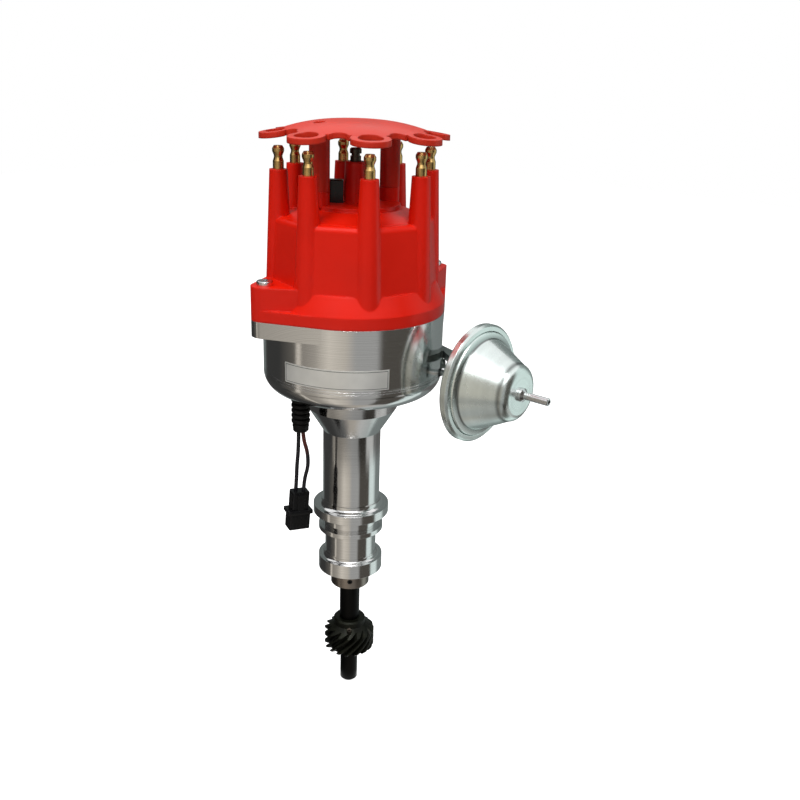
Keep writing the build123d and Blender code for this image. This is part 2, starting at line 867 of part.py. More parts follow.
# Eight arm reluctor pressed on the sleeve, its arms turned up at the tips
with BuildPart() as reluctor:
    step(reluctor_hub_radius, reluctor_bottom, reluctor_bottom + reluctor_thickness)
    with BuildSketch(Plane.XY.offset(reluctor_bottom)):
        with PolarLocations(reluctor_reach / 2, tower_count):
            Rectangle(reluctor_reach, reluctor_arm_width)
    extrude(amount=reluctor_thickness)
    with BuildSketch(Plane.XY.offset(reluctor_bottom)):
        with PolarLocations(reluctor_reach - reluctor_tab / 2, tower_count):
            Rectangle(reluctor_tab, reluctor_arm_width)
    extrude(amount=reluctor_top - reluctor_bottom)
    step(sleeve_radius, reluctor_bottom, reluctor_top, mode=Mode.SUBTRACT)
keep(reluctor, "reluctor")

# Pins that the weights swing on, riveted into the plate
with BuildPart() as weight_pins:
    for turn in (0, 180):
        spot = along(turn, weight_pin_reach)
        step(weight_pin_radius, weight_plate_bottom, cam_top + loose_gap, at=spot)
        step(weight_pin_neck, cam_top + loose_gap, weight_pin_top, at=spot)
keep(weight_pins, "weight_pins")

# Flyweights: a slice of a thick ring with a boss at its pin
for name, turn in (("weight_a", 0), ("weight_b", 180)):
    with BuildPart() as weight:
        with BuildSketch(Plane.XY.offset(weight_bottom)):
            Circle(weight_outer)
            Circle(weight_inner, mode=Mode.SUBTRACT)
            with BuildSketch(mode=Mode.PRIVATE) as slice_face:
                with BuildLine():
                    Polyline(
                        (0, 0),
                        along(turn + weight_start, 2 * weight_outer),
                        along(turn + (weight_start + weight_end) / 2, 2 * weight_outer),
                        along(turn + weight_end, 2 * weight_outer),
                        close=True,
                    )
                make_face()
            add(slice_face.sketch, mode=Mode.INTERSECT)
            with Locations(along(turn, weight_pin_reach)):
                Circle(weight_boss)
        extrude(amount=weight_thickness)
        centre = along(turn, weight_pin_reach)
        fillet(weight.edges().filter_by(Axis.Z).sort_by_distance(centre)[-2:], radius=weight_thickness / 2)
        step(weight_pin_radius + running_fit, weight_bottom, cam_top, at=centre, mode=Mode.SUBTRACT)
    keep(weight, name)

# Cam plate fixed on the shaft's stud, with a post for each spring
with BuildPart() as advance_cam:
    with BuildSketch(Plane.XY.offset(cam_bottom)):
        with BuildSketch(mode=Mode.PRIVATE) as bar:
            Circle(cam_waist)
            with Locations(along(cam_ear_angle, cam_ear_reach), along(cam_ear_angle + 180, cam_ear_reach)):
                Circle(cam_ear_radius)
            make_hull()
        add(bar.sketch)
        Circle(shaft_stud_radius, mode=Mode.SUBTRACT)
    extrude(amount=weight_thickness)
    for turn in (0, 180):
        spot = along(cam_ear_angle + turn, cam_ear_reach)
        step(cam_post_radius, cam_top, weight_pin_top, at=spot)
keep(advance_cam, "advance_cam")

with BuildPart() as shaft_nut:
    with BuildSketch(Plane.XY.offset(cam_top)):
        RegularPolygon(nut_flats / 2, 6, major_radius=False)
        Circle(shaft_stud_radius, mode=Mode.SUBTRACT)
    extrude(amount=nut_height)
keep(shaft_nut, "shaft_nut")

# Advance springs, each from a weight pin to a post of the cam, with a hooked eye at both ends
for name, turn in (("spring_a", 0), ("spring_b", 180)):
    with BuildPart() as spring:
        start = along(turn, weight_pin_reach, spring_height)
        finish = along(turn + cam_ear_angle, cam_ear_reach, spring_height)
        line = finish - start
        way = line.normalized()
        hook_start = Plane(origin=start + way * spring_hook, z_dir=way)
        coil_length = line.length - 2 * spring_hook
        rod_along(hook_start, spring_radius, coil_length, hole=spring_radius - 2 * spring_wire)
        for centre, pin, toward in ((start, weight_pin_neck, way), (finish, cam_post_radius, -way)):
            eye = pin + slip_fit
            low, high = spring_height - spring_wire, spring_height + spring_wire
            step(eye + 2 * spring_wire, low, high, hole=eye, at=centre)
            arm = Plane(origin=centre + toward * (eye + spring_wire), z_dir=toward)
            rod_along(arm, spring_wire, spring_hook - eye)
            cap_plane = Plane(origin=centre + toward * spring_hook, z_dir=toward)
            rod_along(cap_plane, spring_radius, 2 * spring_wire)
    keep(spring, name)


# Pickup plate, turning on the boss around the bearing
with BuildPart() as pickup_plate:
    step(plate_radius, plate_bottom, plate_top, hole=plate_bearing_radius + running_fit)
    spot = along(lever_start, lever_radius)
    step(lever_pin_radius, plate_bottom, plate_top, at=spot, mode=Mode.SUBTRACT)
    with BuildSketch(Plane.XY.offset(plate_bottom)):
        for angle in plate_hole_angles:
            with Locations(along(angle, (plate_radius + plate_bearing_radius) / 2)):
                Circle(plate_hole_radius)
    extrude(amount=plate_height, mode=Mode.SUBTRACT)
keep(pickup_plate, "pickup_plate")

# Pin that the vacuum rod pulls on, riveted into the plate, with a head over the rod's eye
with BuildPart() as lever_pin:
    spot = along(lever_start, lever_radius)
    rod_top = rod_bottom + rod_thickness
    step(lever_pin_radius, plate_bottom, rod_top + slip_fit, at=spot)
    step(lever_head_radius, rod_top + slip_fit, rod_top + slip_fit + lever_head_height, at=spot)
keep(lever_pin, "lever_pin")

pickup_face = outward(pickup_angle, reluctor_reach + air_gap, pickup_height)
core_length = plate_radius - pole_plate - reluctor_reach - air_gap
with BuildPart() as pickup_pole:
    rod_along(pickup_face, core_radius, core_length)
    with BuildSketch(outward(pickup_angle, plate_radius - pole_plate, plate_top + pole_height / 2)):
        RectangleRounded(pole_width, pole_height, pole_corner)
        with Locations((0, -pole_height / 4)):
            Rectangle(pole_width, pole_height / 2)
    extrude(amount=pole_plate)
    with BuildSketch(outward(pickup_angle, plate_radius - pole_plate, plate_top + pole_foot / 2)):
        Rectangle(pole_width, pole_foot)
    extrude(amount=-pole_foot_length)
    step(plate_radius, plate_top, plate_top + pole_height, mode=Mode.INTERSECT)
keep(pickup_pole, "pickup_pole")

with BuildPart() as pickup_coil:
    coil_start = pickup_face.offset(core_tip)
    coil_length = core_length - core_tip
    rod_along(coil_start, coil_radius, coil_length, hole=core_radius)
    rod_along(coil_start, coil_flange_radius, coil_flange, hole=core_radius)
    rod_along(coil_start.offset(coil_length - coil_flange), coil_flange_radius, coil_flange, hole=core_radius)
keep(pickup_coil, "pickup_coil")

# Clips that hold the plate down by its edge, each with its screw
with BuildPart() as plate_clips:
    for angle in clip_angles:
        seat = outward(angle, plate_radius + loose_gap, (bowl_floor + plate_top + slip_fit) / 2)
        with BuildSketch(seat):
            Rectangle(clip_width, plate_top + slip_fit - bowl_floor)
        extrude(amount=bowl_inner - plate_radius - 2 * loose_gap)
        with BuildSketch(outward(angle, plate_radius - clip_overlap, clip_top - clip_thickness / 2)):
            Rectangle(clip_width, clip_thickness)
        extrude(amount=bowl_inner - plate_radius + clip_overlap - loose_gap)
    turned(
        [
            (plate_radius - 2 * clip_overlap, bowl_floor),
            (bowl_inner - bowl_corner, bowl_floor),
            (bowl_inner - loose_gap, bowl_floor + bowl_corner),
            (bowl_inner - loose_gap, boss_top + clip_thickness),
            (plate_radius - 2 * clip_overlap, boss_top + clip_thickness),
        ],
        mode=Mode.INTERSECT,
    )
    for angle in clip_angles:
        spot = along(angle, clip_screw_reach)
        step(clip_screw_radius, bowl_floor, boss_top + clip_thickness, at=spot, mode=Mode.SUBTRACT)
keep(plate_clips, "plate_clips")

with BuildPart() as clip_screws:
    for angle in clip_angles:
        spot = along(angle, clip_screw_reach)
        step(clip_screw_radius, clip_screw_end, clip_top, at=spot)
        step(2 * clip_screw_radius, clip_top, clip_top + clip_screw_head_height, at=spot)
keep(clip_screws, "clip_screws")


# Rotor: a disc on the carrier's posts, rising in a cone to the blade
with BuildPart() as rotor:
    turned(
        [
            (0, post_top),
            (rotor_disc_radius, post_top),
            (rotor_disc_radius, post_top + rotor_disc_thickness),
            (rotor_shoulder_radius, post_top + rotor_disc_thickness),
            (rotor_shoulder_radius - rotor_draft, rotor_shoulder),
            (rotor_top_radius, rotor_top - rotor_bevel),
            (rotor_top_radius - rotor_bevel, rotor_top),
            (0, rotor_top),
        ]
    )
    # Arm that backs the blade out to its tip
    arm_reach = blade_reach - blade_overhang
    with BuildSketch(Plane.XY.offset(rotor_top - rotor_arm)):
        with Locations(along(blade_angle, arm_reach / 2)):
            Rectangle(arm_reach, rotor_arm_width, rotation=blade_angle)
    extrude(amount=rotor_arm)
    # Hollow over the nut
    step(rotor_hollow_radius, post_top, rotor_hollow_top, mode=Mode.SUBTRACT)
    for turn in (0, 180):
        spot = along(post_angle + turn, post_reach)
        step(rotor_screw_radius, post_top, rotor_shoulder, at=spot, mode=Mode.SUBTRACT)
keep(rotor, "rotor")

# Brass blade from the centre contact to the tip
with BuildPart() as rotor_blade:
    with BuildSketch(Plane.XY.offset(blade_bottom)):
        Circle(blade_root_radius)
        with Locations(along(blade_angle, blade_reach / 2)):
            Rectangle(blade_reach, blade_width, rotation=blade_angle)
    extrude(amount=blade_thickness)
    step(blade_reach, blade_bottom, blade_top, mode=Mode.INTERSECT)
keep(rotor_blade, "rotor_blade")

with BuildPart() as rotor_screws:
    for turn in (0, 180):
        spot = along(post_angle + turn, post_reach)
        head = post_top + rotor_disc_thickness
        step(rotor_screw_radius, post_top - post_thread, head, at=spot)
        step(rotor_screw_head, head, head + rotor_screw_head_height, at=spot)
keep(rotor_screws, "rotor_screws")


# Moulded cap: lip and skirt, eight flat faces, domed deck, ribbed towers, two tall ears
with BuildPart() as cap:
    # Lip that sits on the bowl and the spigot that centres it
    step(bowl_radius, seam, cap_lip_top)
    step(bowl_inner - slip_fit, seam - register_depth, seam)
    turned(
        [
            (0, cap_lip_top),
            (bowl_radius, cap_lip_top),
            (cap_skirt_radius, cap_facet_foot),
            (0, cap_facet_foot),
        ]
    )
    # Body with eight flat faces, an edge under each tower
    for height, half in ((tower_foot, cap_facet_half_foot), (cap_shoulder, cap_facet_half_top)):
        with BuildSketch(Plane.XY.offset(height)):
            RegularPolygon(half, tower_count, major_radius=False, rotation=tower_turn)
    loft()
    fillet(cap.edges().group_by(Axis.Z)[-1], radius=cap_shoulder_round)
    turned(
        [
            (0, cap_shoulder - cap_sink),
            (cap_dome_radius, cap_shoulder - cap_sink),
            (cap_dome_radius, cap_shoulder),
            (cap_deck_foot_radius, cap_deck - cap_plateau_step),
            (cap_plateau_radius, cap_deck - cap_plateau_step),
            (cap_plateau_radius, cap_deck),
            (0, cap_deck),
        ]
    )
    # Ears over the ears of the housing, their side walls tangent to the lip
    for angle in ear_angles:
        for inner, high in ((bowl_radius, cap_lip_top), (cap_facet_half_top, cap_ear_top)):
            with BuildSketch(Plane.XY.offset(seam)):
                Circle(inner)
                with Locations(along(angle, ear_reach)):
                    Circle(ear_radius)
                make_hull()
            extrude(amount=high - seam)
    # Towers, each a tapered rib that runs down the edge of the body into the skirt
    with Locations((0, 0, cap_lip_top)):
        with tower_spots():
            Cone(tower_foot_radius, tower_top_radius, tower_top - cap_lip_top, align=standing)
    for angle in ear_angles:
        spot = along(angle, leg_reach)
        step(leg_radius, cap_deck - cap_sink, leg_joint, at=spot)
    with Locations((0, 0, cap_deck)):
        Cone(centre_tower_foot_radius, centre_tower_radius, centre_tower_top - cap_deck, align=standing)
    # Inside: the register, the chamber about the rotor and the boss of the carbon button
    turned(
        [
            (0, seam - register_depth),
            (bowl_inner - register_wall, seam - register_depth),
            (bowl_inner - register_wall, cap_lip_top),
            (cap_facet_half_foot - cap_wall, cap_facet_foot),
            (cap_facet_half_top - cap_wall + cap_chamber_draft, cap_roof - cap_roof_rise),
            (cap_dome_radius - cap_wall, cap_roof),
            (button_boss_radius, cap_roof),
            (button_boss_radius, button_bottom + button_proud),
            (0, button_bottom + button_proud),
        ],
        mode=Mode.SUBTRACT,
    )
    # Terminal holes, screw holes and the countersunk seats
    with BuildSketch(Plane.XY.offset(electrode_bottom)):
        with tower_spots():
            Circle(electrode_radius)
    extrude(amount=electrode_top - electrode_bottom, mode=Mode.SUBTRACT)
    with BuildSketch(Plane.XY.offset(electrode_top)):
        with tower_spots():
            Circle(terminal_rod_radius)
    extrude(amount=tower_top - electrode_top, mode=Mode.SUBTRACT)
    step(button_radius, button_bottom, button_bottom + button_length, mode=Mode.SUBTRACT)
    step(terminal_rod_radius, button_bottom, centre_tower_top, mode=Mode.SUBTRACT)
    for angle in ear_angles:
        spot = along(angle, ear_reach)
        step(cap_screw_radius, seam, cap_ear_top, at=spot, mode=Mode.SUBTRACT)
        spot = along(angle, leg_reach)
        step(retainer_screw_radius, stud_bottom, leg_joint, at=spot, mode=Mode.SUBTRACT)
    # Pocket for the foot of the vent block
    with BuildSketch(Plane.XY.offset(cap_deck - cap_sink)):
        with Locations(vent_spot):
            Rectangle(vent_length, vent_width, rotation=hang_turn)
    extrude(amount=cap_sink, mode=Mode.SUBTRACT)
keep(cap, "cap")

# Eight brass terminals, each a snap stud on top, a rod through the tower and an electrode below
with BuildPart() as cap_terminals:
    with BuildSketch(Plane.XZ) as stud_outline:
        with BuildLine():
            Polyline(
                (0, electrode_bottom),
                (electrode_radius, electrode_bottom),
                (electrode_radius, electrode_top),
                (terminal_rod_radius, electrode_top),
                (terminal_rod_radius, tower_top),
                (stud_radius, tower_top),
                (stud_radius, tower_top + stud_base),
                (stud_waist, tower_top + stud_waist_low),
                (stud_waist, tower_top + stud_waist_high),
                (stud_bulb, tower_top + stud_bulb_low),
                (stud_bulb, tower_top + stud_bulb_high),
                (stud_waist, tower_top + stud_height),
                (0, tower_top + stud_height),
                close=True,
            )
        make_face()
    one_terminal = revolve(stud_outline.sketch, axis=Axis.Z, mode=Mode.PRIVATE)
    with tower_spots():
        add(one_terminal)
keep(cap_terminals, "cap_terminals")

# Coil stud, down to the spring seat of the carbon button
with BuildPart() as centre_terminal:
    step(terminal_rod_radius, button_bottom + button_length, centre_tower_top)
    step(stud_radius, centre_tower_top, centre_tower_top + coil_stud_base)
    step(stud_waist, centre_tower_top + coil_stud_base, centre_tower_top + coil_stud_neck)
    step(stud_bulb, centre_tower_top + coil_stud_neck, centre_tower_top + coil_stud_height)
    chamfer(centre_terminal.edges().group_by(Axis.Z)[-1], length=edge_break)
keep(centre_terminal, "centre_terminal")

with BuildPart() as carbon_button:
    step(button_radius, button_bottom, button_bottom + button_length)
    fillet(carbon_button.edges().group_by(Axis.Z)[0], radius=button_round)
keep(carbon_button, "carbon_button")

# Black block on the deck beside the coil tower
with BuildPart() as vent_block:
    with BuildSketch(Plane.XY.offset(cap_deck - cap_sink)):
        with Locations(vent_spot):
            Rectangle(vent_length, vent_width, rotation=hang_turn)
    extrude(amount=vent_height + cap_sink)
    chamfer(vent_block.edges().group_by(Axis.Z)[-1], length=edge_break)
keep(vent_block, "vent_block")

# Screws down through the cap's ears into the housing
with BuildPart() as cap_screws:
    for angle in ear_angles:
        spot = along(angle, ear_reach)
        step(cap_screw_radius, seam - ear_drop, cap_ear_top, at=spot)
        step(cap_screw_head, cap_ear_top, cap_ear_top + cap_screw_head_height, at=spot)
    fillet(cap_screws.edges().group_by(Axis.Z)[-1], radius=edge_break)
    with BuildSketch(Plane.XY.offset(cap_ear_top + cap_screw_head_height)):
        with Locations(*[along(angle, ear_reach) for angle in ear_angles]):
            RegularPolygon(cap_screw_socket / 2, 6, major_radius=False)
    extrude(amount=-cap_screw_socket_depth, mode=Mode.SUBTRACT)
keep(cap_screws, "cap_screws")


# Wire retainer: a shallow dome with eight eyelets round its edge, on two round legs
with BuildPart() as wire_retainer:
    with BuildSketch(Plane.XZ):
        with BuildLine():
            rim = (plate_rim_radius, plate_crown - plate_rim_drop)
            tip = (loop_reach + loop_half_length + 1, plate_crown - plate_tip_drop)
            top = Line((0, plate_crown), (plate_flat_radius, plate_crown))
            TangentArc(top @ 1, rim, tangent=(1, 0))
            Polyline(rim, tip, (tip[0], tip[1] - plate_thickness), (rim[0], rim[1] - plate_thickness))
            under = Line((0, leg_top), (plate_flat_radius, leg_top))
            TangentArc(under @ 1, (rim[0], rim[1] - plate_thickness), tangent=(1, 0))
            Line(under @ 0, top @ 0)
        make_face()
    revolve(axis=Axis.Z)
    with BuildSketch(Plane.XY.offset(plate_crown - plate_tip_drop - plate_thickness)):
        Circle(retainer_disc_radius)
        with PolarLocations(loop_reach, tower_count, start_angle=tower_turn):
            Ellipse(loop_half_length, loop_half_width)
        with PolarLocations(scallop_reach, tower_count, start_angle=tower_turn + 180 / tower_count):
            Circle(scallop_radius, mode=Mode.SUBTRACT)
        with PolarLocations(loop_reach, tower_count, start_angle=tower_turn):
            SlotOverall(loop_hole_width, loop_hole_length, rotation=90, mode=Mode.SUBTRACT)
    extrude(amount=plate_tip_drop + plate_thickness, mode=Mode.INTERSECT)
    for angle in ear_angles:
        spot = along(angle, leg_reach)
        step(leg_radius, leg_joint, leg_top, at=spot)
    for angle in ear_angles:
        spot = along(angle, leg_reach)
        step(retainer_screw_radius, leg_joint, plate_crown, at=spot, mode=Mode.SUBTRACT)
        step(retainer_screw_head, screw_seat, plate_crown, at=spot, mode=Mode.SUBTRACT)
keep(wire_retainer, "wire_retainer")

with BuildPart() as retainer_screws:
    for angle in ear_angles:
        spot = along(angle, leg_reach)
        step(retainer_screw_radius, stud_bottom, screw_seat, at=spot)
        step(retainer_screw_head, screw_seat, screw_seat + retainer_screw_head_height, at=spot)
keep(retainer_screws, "retainer_screws")


# Vacuum canister's back shell, its edge rolled over the flange of the front shell
with BuildPart() as canister_rear:
    turned(
        [
            (rear_face, rear_hole_radius),
            (rear_face, rear_face_radius),
            (rear_knee, rear_knee_radius),
            (rim_back + edge_break, front_step_radius + edge_break),
            (rim_back, rim_radius - rim_fold),
            (rim_back + rim_fold, rim_radius),
            (rim_front - rim_fold, rim_radius),
            (rim_front, rim_radius - rim_fold),
            (rim_front, front_step_radius),
            (rim_front - shell_thickness, front_step_radius),
            (rim_front - shell_thickness, rim_radius - shell_thickness),
            (diaphragm_back, rim_radius - shell_thickness),
            (diaphragm_back, front_step_radius),
            (rear_knee + shell_thickness, rear_knee_radius - shell_thickness),
            (rear_face + shell_thickness, rear_face_radius - shell_thickness),
            (rear_face + shell_thickness, rear_hole_radius),
        ],
        plane=canister_plane,
        axis=canister_axis,
    )
keep(canister_rear, "canister_rear")

# Front shell: flange, raised step, long cone and a rounded nose
with BuildPart() as canister_front:
    with BuildSketch(canister_plane):
        with BuildLine():
            flange_line = Polyline(
                (diaphragm_front, rim_radius - shell_thickness),
                (rim_front - shell_thickness, rim_radius - shell_thickness),
                (rim_front - shell_thickness, front_step_radius),
                (cone_foot - edge_break, front_step_radius - edge_break),
                (cone_foot, cone_foot_radius),
                (cone_nose, cone_nose_radius),
            )
            nose = RadiusArc(flange_line @ 1, (nose_face, nose_face_radius), nose_round)
            face_line = Polyline(
                nose @ 1,
                (nose_face, nipple_radius),
                (nose_face - shell_thickness, nipple_radius),
                (nose_face - shell_thickness, nose_face_radius - nose_inset),
            )
            inner_nose = RadiusArc(
                face_line @ 1,
                (cone_nose - nose_step, cone_nose_radius - shell_thickness),
                shell_thickness - nose_round,
            )
            Polyline(
                inner_nose @ 1,
                (cone_foot - shell_thickness, cone_foot_radius - shell_thickness),
                (cone_foot - shell_thickness, front_step_radius - inner_step),
                (diaphragm_front, front_step_radius - inner_step + edge_break),
                (diaphragm_front, rim_radius - shell_thickness),
            )
        make_face()
    revolve(axis=canister_axis)
keep(canister_front, "canister_front")

with BuildPart() as canister_nipple:
    turned(
        [
            (nose_inner - nipple_swage, nipple_bore),
            (nose_inner - nipple_swage, nipple_radius + nipple_swage),
            (nose_inner, nipple_radius + nipple_swage),
            (nose_inner, nipple_radius),
            (nose_face, nipple_radius),
            (nose_face, nipple_collar_radius),
            (nose_face + nipple_collar, nipple_collar_radius),
            (nose_face + nipple_collar + nipple_cone, nipple_radius),
            (nipple_tip - nipple_lead, nipple_radius),
            (nipple_tip, nipple_radius - nipple_lead),
            (nipple_tip, nipple_bore),
        ],
        plane=canister_plane,
        axis=canister_axis,
    )
keep(canister_nipple, "canister_nipple")

# Diaphragm, clamped in the rolled rim and between the rod's two cups
with BuildPart() as diaphragm:
    turned(
        [
            (diaphragm_back, rivet_shank),
            (diaphragm_front, rivet_shank),
            (diaphragm_front, rim_radius - shell_thickness),
            (diaphragm_back, rim_radius - shell_thickness),
        ],
        plane=canister_plane,
        axis=canister_axis,
    )
keep(diaphragm, "diaphragm")

with BuildPart() as canister_spring:
    spring_start = diaphragm_front + cup_thickness
    spring_end = nose_inner - face_gap
    turned(
        [
            (spring_start, return_spring_radius - return_spring_wire),
            (spring_start, return_spring_radius),
            (spring_end, return_spring_radius),
            (spring_end, return_spring_radius - return_spring_wire),
        ],
        plane=canister_plane,
        axis=canister_axis,
    )
keep(canister_spring, "canister_spring")

# Rod from the diaphragm to the plate's pin, with the two cups riveted on its end
with BuildPart() as vacuum_rod:
    eye = along(lever_start, lever_radius)
    with BuildSketch(Plane.XY.offset(rod_bottom)):
        with Locations((eye.X, eye.Y)):
            Circle(rod_eye_radius)
        with Locations(((eye.X + rod_end) / 2, canister_side)):
            Rectangle(rod_end - eye.X, rod_width)
        with Locations((eye.X, eye.Y)):
            Circle(lever_pin_radius + rod_eye_clearance, mode=Mode.SUBTRACT)
    extrude(amount=rod_thickness)
    turned(
        [
            (rod_end, 0),
            (rod_end, rod_hub_radius),
            (diaphragm_back - cup_thickness, rod_hub_radius),
            (diaphragm_back - cup_thickness, cup_radius),
            (diaphragm_back, cup_radius),
            (diaphragm_back, rivet_shank),
            (diaphragm_front, rivet_shank),
            (diaphragm_front, cup_radius),
            (diaphragm_front + cup_thickness, cup_radius),
            (diaphragm_front + cup_thickness, rivet_radius),
            (diaphragm_front + cup_thickness + rivet_height, rivet_radius),
            (diaphragm_front + cup_thickness + rivet_height, 0),
        ],
        plane=canister_plane,
        axis=canister_axis,
    )
keep(vacuum_rod, "vacuum_rod")

# Bracket: a foot screwed to the milled flat and a folded arm welded to the back shell
with BuildPart() as canister_bracket:
    with BuildSketch(bracket_middle):
        Rectangle(2 * bracket_half_width, bracket_top - bracket_bottom)
    extrude(amount=bracket_thickness)
    foot_middle = along(bracket_angle, bracket_seat + bracket_thickness)
    foot_side = along(bracket_angle + 90, arm_half_width)
    near_corner = foot_middle - foot_side
    far_corner = foot_middle + foot_side
    sunk = along(bracket_angle, bracket_thickness / 2)
    with BuildSketch(Plane.XY.offset(arm_bottom)):
        with BuildLine():
            Polyline(
                ((near_corner - sunk).X, (near_corner - sunk).Y),
                (near_corner.X, near_corner.Y),
                (rear_face, canister_side - arm_half_width),
                (rear_face, canister_side + arm_half_width),
                (far_corner.X, far_corner.Y),
                ((far_corner - sunk).X, (far_corner - sunk).Y),
                close=True,
            )
        make_face()
    extrude(amount=arm_thickness)
    with BuildSketch(rod_plane.offset(rear_face)):
        Circle(tab_radius)
        with Locations((0, arm_bottom - canister_height)):
            Rectangle(2 * tab_radius, tab_radius, align=(Align.CENTER, Align.MIN), mode=Mode.INTERSECT)
    extrude(amount=-bracket_thickness)
    with BuildSketch(rod_plane):
        Rectangle(2 * rod_slot_half_width, 2 * rod_slot_half_height)
    extrude(amount=rear_face, mode=Mode.SUBTRACT)
    with BuildSketch(bracket_plane):
        with GridLocations(bracket_screw_spacing, 1, 2, 1):
            Circle(bracket_screw_radius)
    extrude(amount=bracket_thickness, mode=Mode.SUBTRACT)
keep(canister_bracket, "canister_bracket")

with BuildPart() as bracket_screws:
    with BuildSketch(bracket_plane.offset(-bowl_wall)):
        with GridLocations(bracket_screw_spacing, 1, 2, 1):
            Circle(bracket_screw_radius)
    extrude(amount=bowl_wall + bracket_thickness)
    with BuildSketch(bracket_plane.offset(bracket_thickness)):
        with GridLocations(bracket_screw_spacing, 1, 2, 1):
            Circle(bracket_screw_head)
    extrude(amount=bracket_screw_head_height)
keep(bracket_screws, "bracket_screws")


# Ribbed rubber grommet through the floor of the bowl
with BuildPart() as grommet:
    step(grommet_sleeve_radius, grommet_bottom, grommet_sleeve_top, at=grommet_spot)
    step(grommet_waist_radius, grommet_sleeve_top, bowl_bottom, at=grommet_spot)
    for number in range(grommet_rib_count):
        rib_top = bowl_bottom - number * grommet_rib_pitch
        step(grommet_rib_radius, rib_top - grommet_rib, rib_top, at=grommet_spot)
    step(grommet_hole, bowl_bottom, bowl_floor, at=grommet_spot)
    step(grommet_head_radius, bowl_floor, bowl_floor + grommet_head, at=grommet_spot)
    for side in (-1, 1):
        with BuildSketch(Plane(origin=grommet_spot + Vector(0, 0, grommet_bottom))):
            with Locations(hang_direction * side * lead_exit):
                Circle(lead_radius)
        extrude(amount=lead_sink, mode=Mode.SUBTRACT)
keep(grommet, "grommet")

# Two limp leads between the grommet and the plug, points chosen along their hang
lead_routes = {
    "lead_left": [
        (-lead_exit, grommet_bottom + lead_sink),
        (-lead_exit, grommet_bottom - left_bend),
        (-left_bow, grommet_bottom - left_bow_drop),
        on_plug(-plug_pin_spread, left_rise),
        on_plug(-plug_pin_spread, -plug_sink),
    ],
    "lead_right": [
        (lead_exit, grommet_bottom + lead_sink),
        (lead_exit, grommet_bottom - right_bend),
        (right_bow, grommet_bottom - right_bow_drop),
        (right_knee, grommet_bottom - right_knee_drop),
        on_plug(plug_pin_spread, right_rise),
        on_plug(plug_pin_spread, -plug_sink),
    ],
}
for name, route in lead_routes.items():
    bends = []
    for before, here, after in zip(route, route[1:], route[2:]):
        first = Vector(*here) - Vector(*before)
        second = Vector(*after) - Vector(*here)
        turn = first.get_angle(second)
        bends.append(0.45 * min(first.length, second.length) / math.tan(math.radians(turn / 2)))
    print(name, "bend radii", [round(bend, 1) for bend in bends])
    with BuildPart() as lead:
        with BuildLine(hang_plane) as path:
            FilletPolyline(*route, radius=bends)
        with BuildSketch(Plane(origin=path.line @ 0, z_dir=path.line % 0)):
            Circle(lead_radius)
        sweep()
    length = sum(edge.length for edge in path.edges())
    tube_volume = math.pi * lead_radius**2 * length
    print(name, "length", round(length, 1), "volume ratio", round(lead.part.volume / tube_volume, 4))
    keep(lead, name)

# Two way plug hanging on the leads
with BuildPart() as plug:
    for width, depth, high, low in plug_steps:
        with BuildSketch(plug_plane.offset(high)):
            RectangleRounded(width, depth, plug_corner)
        extrude(amount=low - high)
    chamfer(plug.faces().sort_by(plug_axis)[0].edges(), length=edge_break)
    for side in (-1, 1):
        with BuildSketch(plug_plane):
            with Locations((side * plug_pin_spread, 0)):
                Circle(lead_radius)
        extrude(amount=-plug_sink, mode=Mode.SUBTRACT)
        with BuildSketch(plug_plane.offset(-plug_length)):
            with Locations((side * plug_pin_spread, 0)):
                Circle(plug_pin_radius)
        extrude(amount=plug_pin_length, mode=Mode.SUBTRACT)
keep(plug, "plug")

with BuildPart() as plug_pins:
    with BuildSketch(plug_plane.offset(plug_pin_inset - plug_length)):
        for side in (-1, 1):
            with Locations((side * plug_pin_spread, 0)):
                Circle(plug_pin_radius)
                Circle(plug_pin_bore, mode=Mode.SUBTRACT)
    extrude(amount=plug_pin_length - plug_pin_inset)
keep(plug_pins, "plug_pins")
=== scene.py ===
# Looks, leads, springs, label plate, stage and camera for the ignition distributor. Metres, +Z up the shaft.
import math

import bmesh
import bpy
from mathutils import Matrix, Vector


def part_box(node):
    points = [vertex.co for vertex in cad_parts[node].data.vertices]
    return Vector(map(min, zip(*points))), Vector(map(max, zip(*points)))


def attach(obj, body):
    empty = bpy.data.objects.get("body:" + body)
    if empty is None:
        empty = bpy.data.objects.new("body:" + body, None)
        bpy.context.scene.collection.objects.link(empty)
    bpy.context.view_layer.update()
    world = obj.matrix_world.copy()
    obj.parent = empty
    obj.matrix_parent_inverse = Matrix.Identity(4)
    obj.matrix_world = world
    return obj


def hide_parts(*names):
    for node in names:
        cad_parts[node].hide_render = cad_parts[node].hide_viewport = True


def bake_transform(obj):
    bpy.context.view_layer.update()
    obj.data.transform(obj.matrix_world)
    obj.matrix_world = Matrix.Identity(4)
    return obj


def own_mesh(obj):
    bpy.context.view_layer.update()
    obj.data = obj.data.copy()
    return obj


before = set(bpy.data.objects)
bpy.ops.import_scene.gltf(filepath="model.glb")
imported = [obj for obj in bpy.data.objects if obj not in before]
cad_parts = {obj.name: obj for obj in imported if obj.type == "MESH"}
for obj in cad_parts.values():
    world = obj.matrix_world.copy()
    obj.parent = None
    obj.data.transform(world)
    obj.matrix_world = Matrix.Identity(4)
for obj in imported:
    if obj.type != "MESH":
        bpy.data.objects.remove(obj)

bl_info = {
    "name": "Ignition Distributor",
    "version": (1, 0, 0),
    "blender": (4, 5, 0),
    "location": "View3D > Sidebar > Distributor",
    "description": "Dresses the packed ignition distributor and sets its stage",
    "category": "Object",
}


# Places of the colour sockets in a Mix node
MIX_SHARE, MIX_FIRST, MIX_SECOND, MIX_RESULT = 0, 6, 7, 2
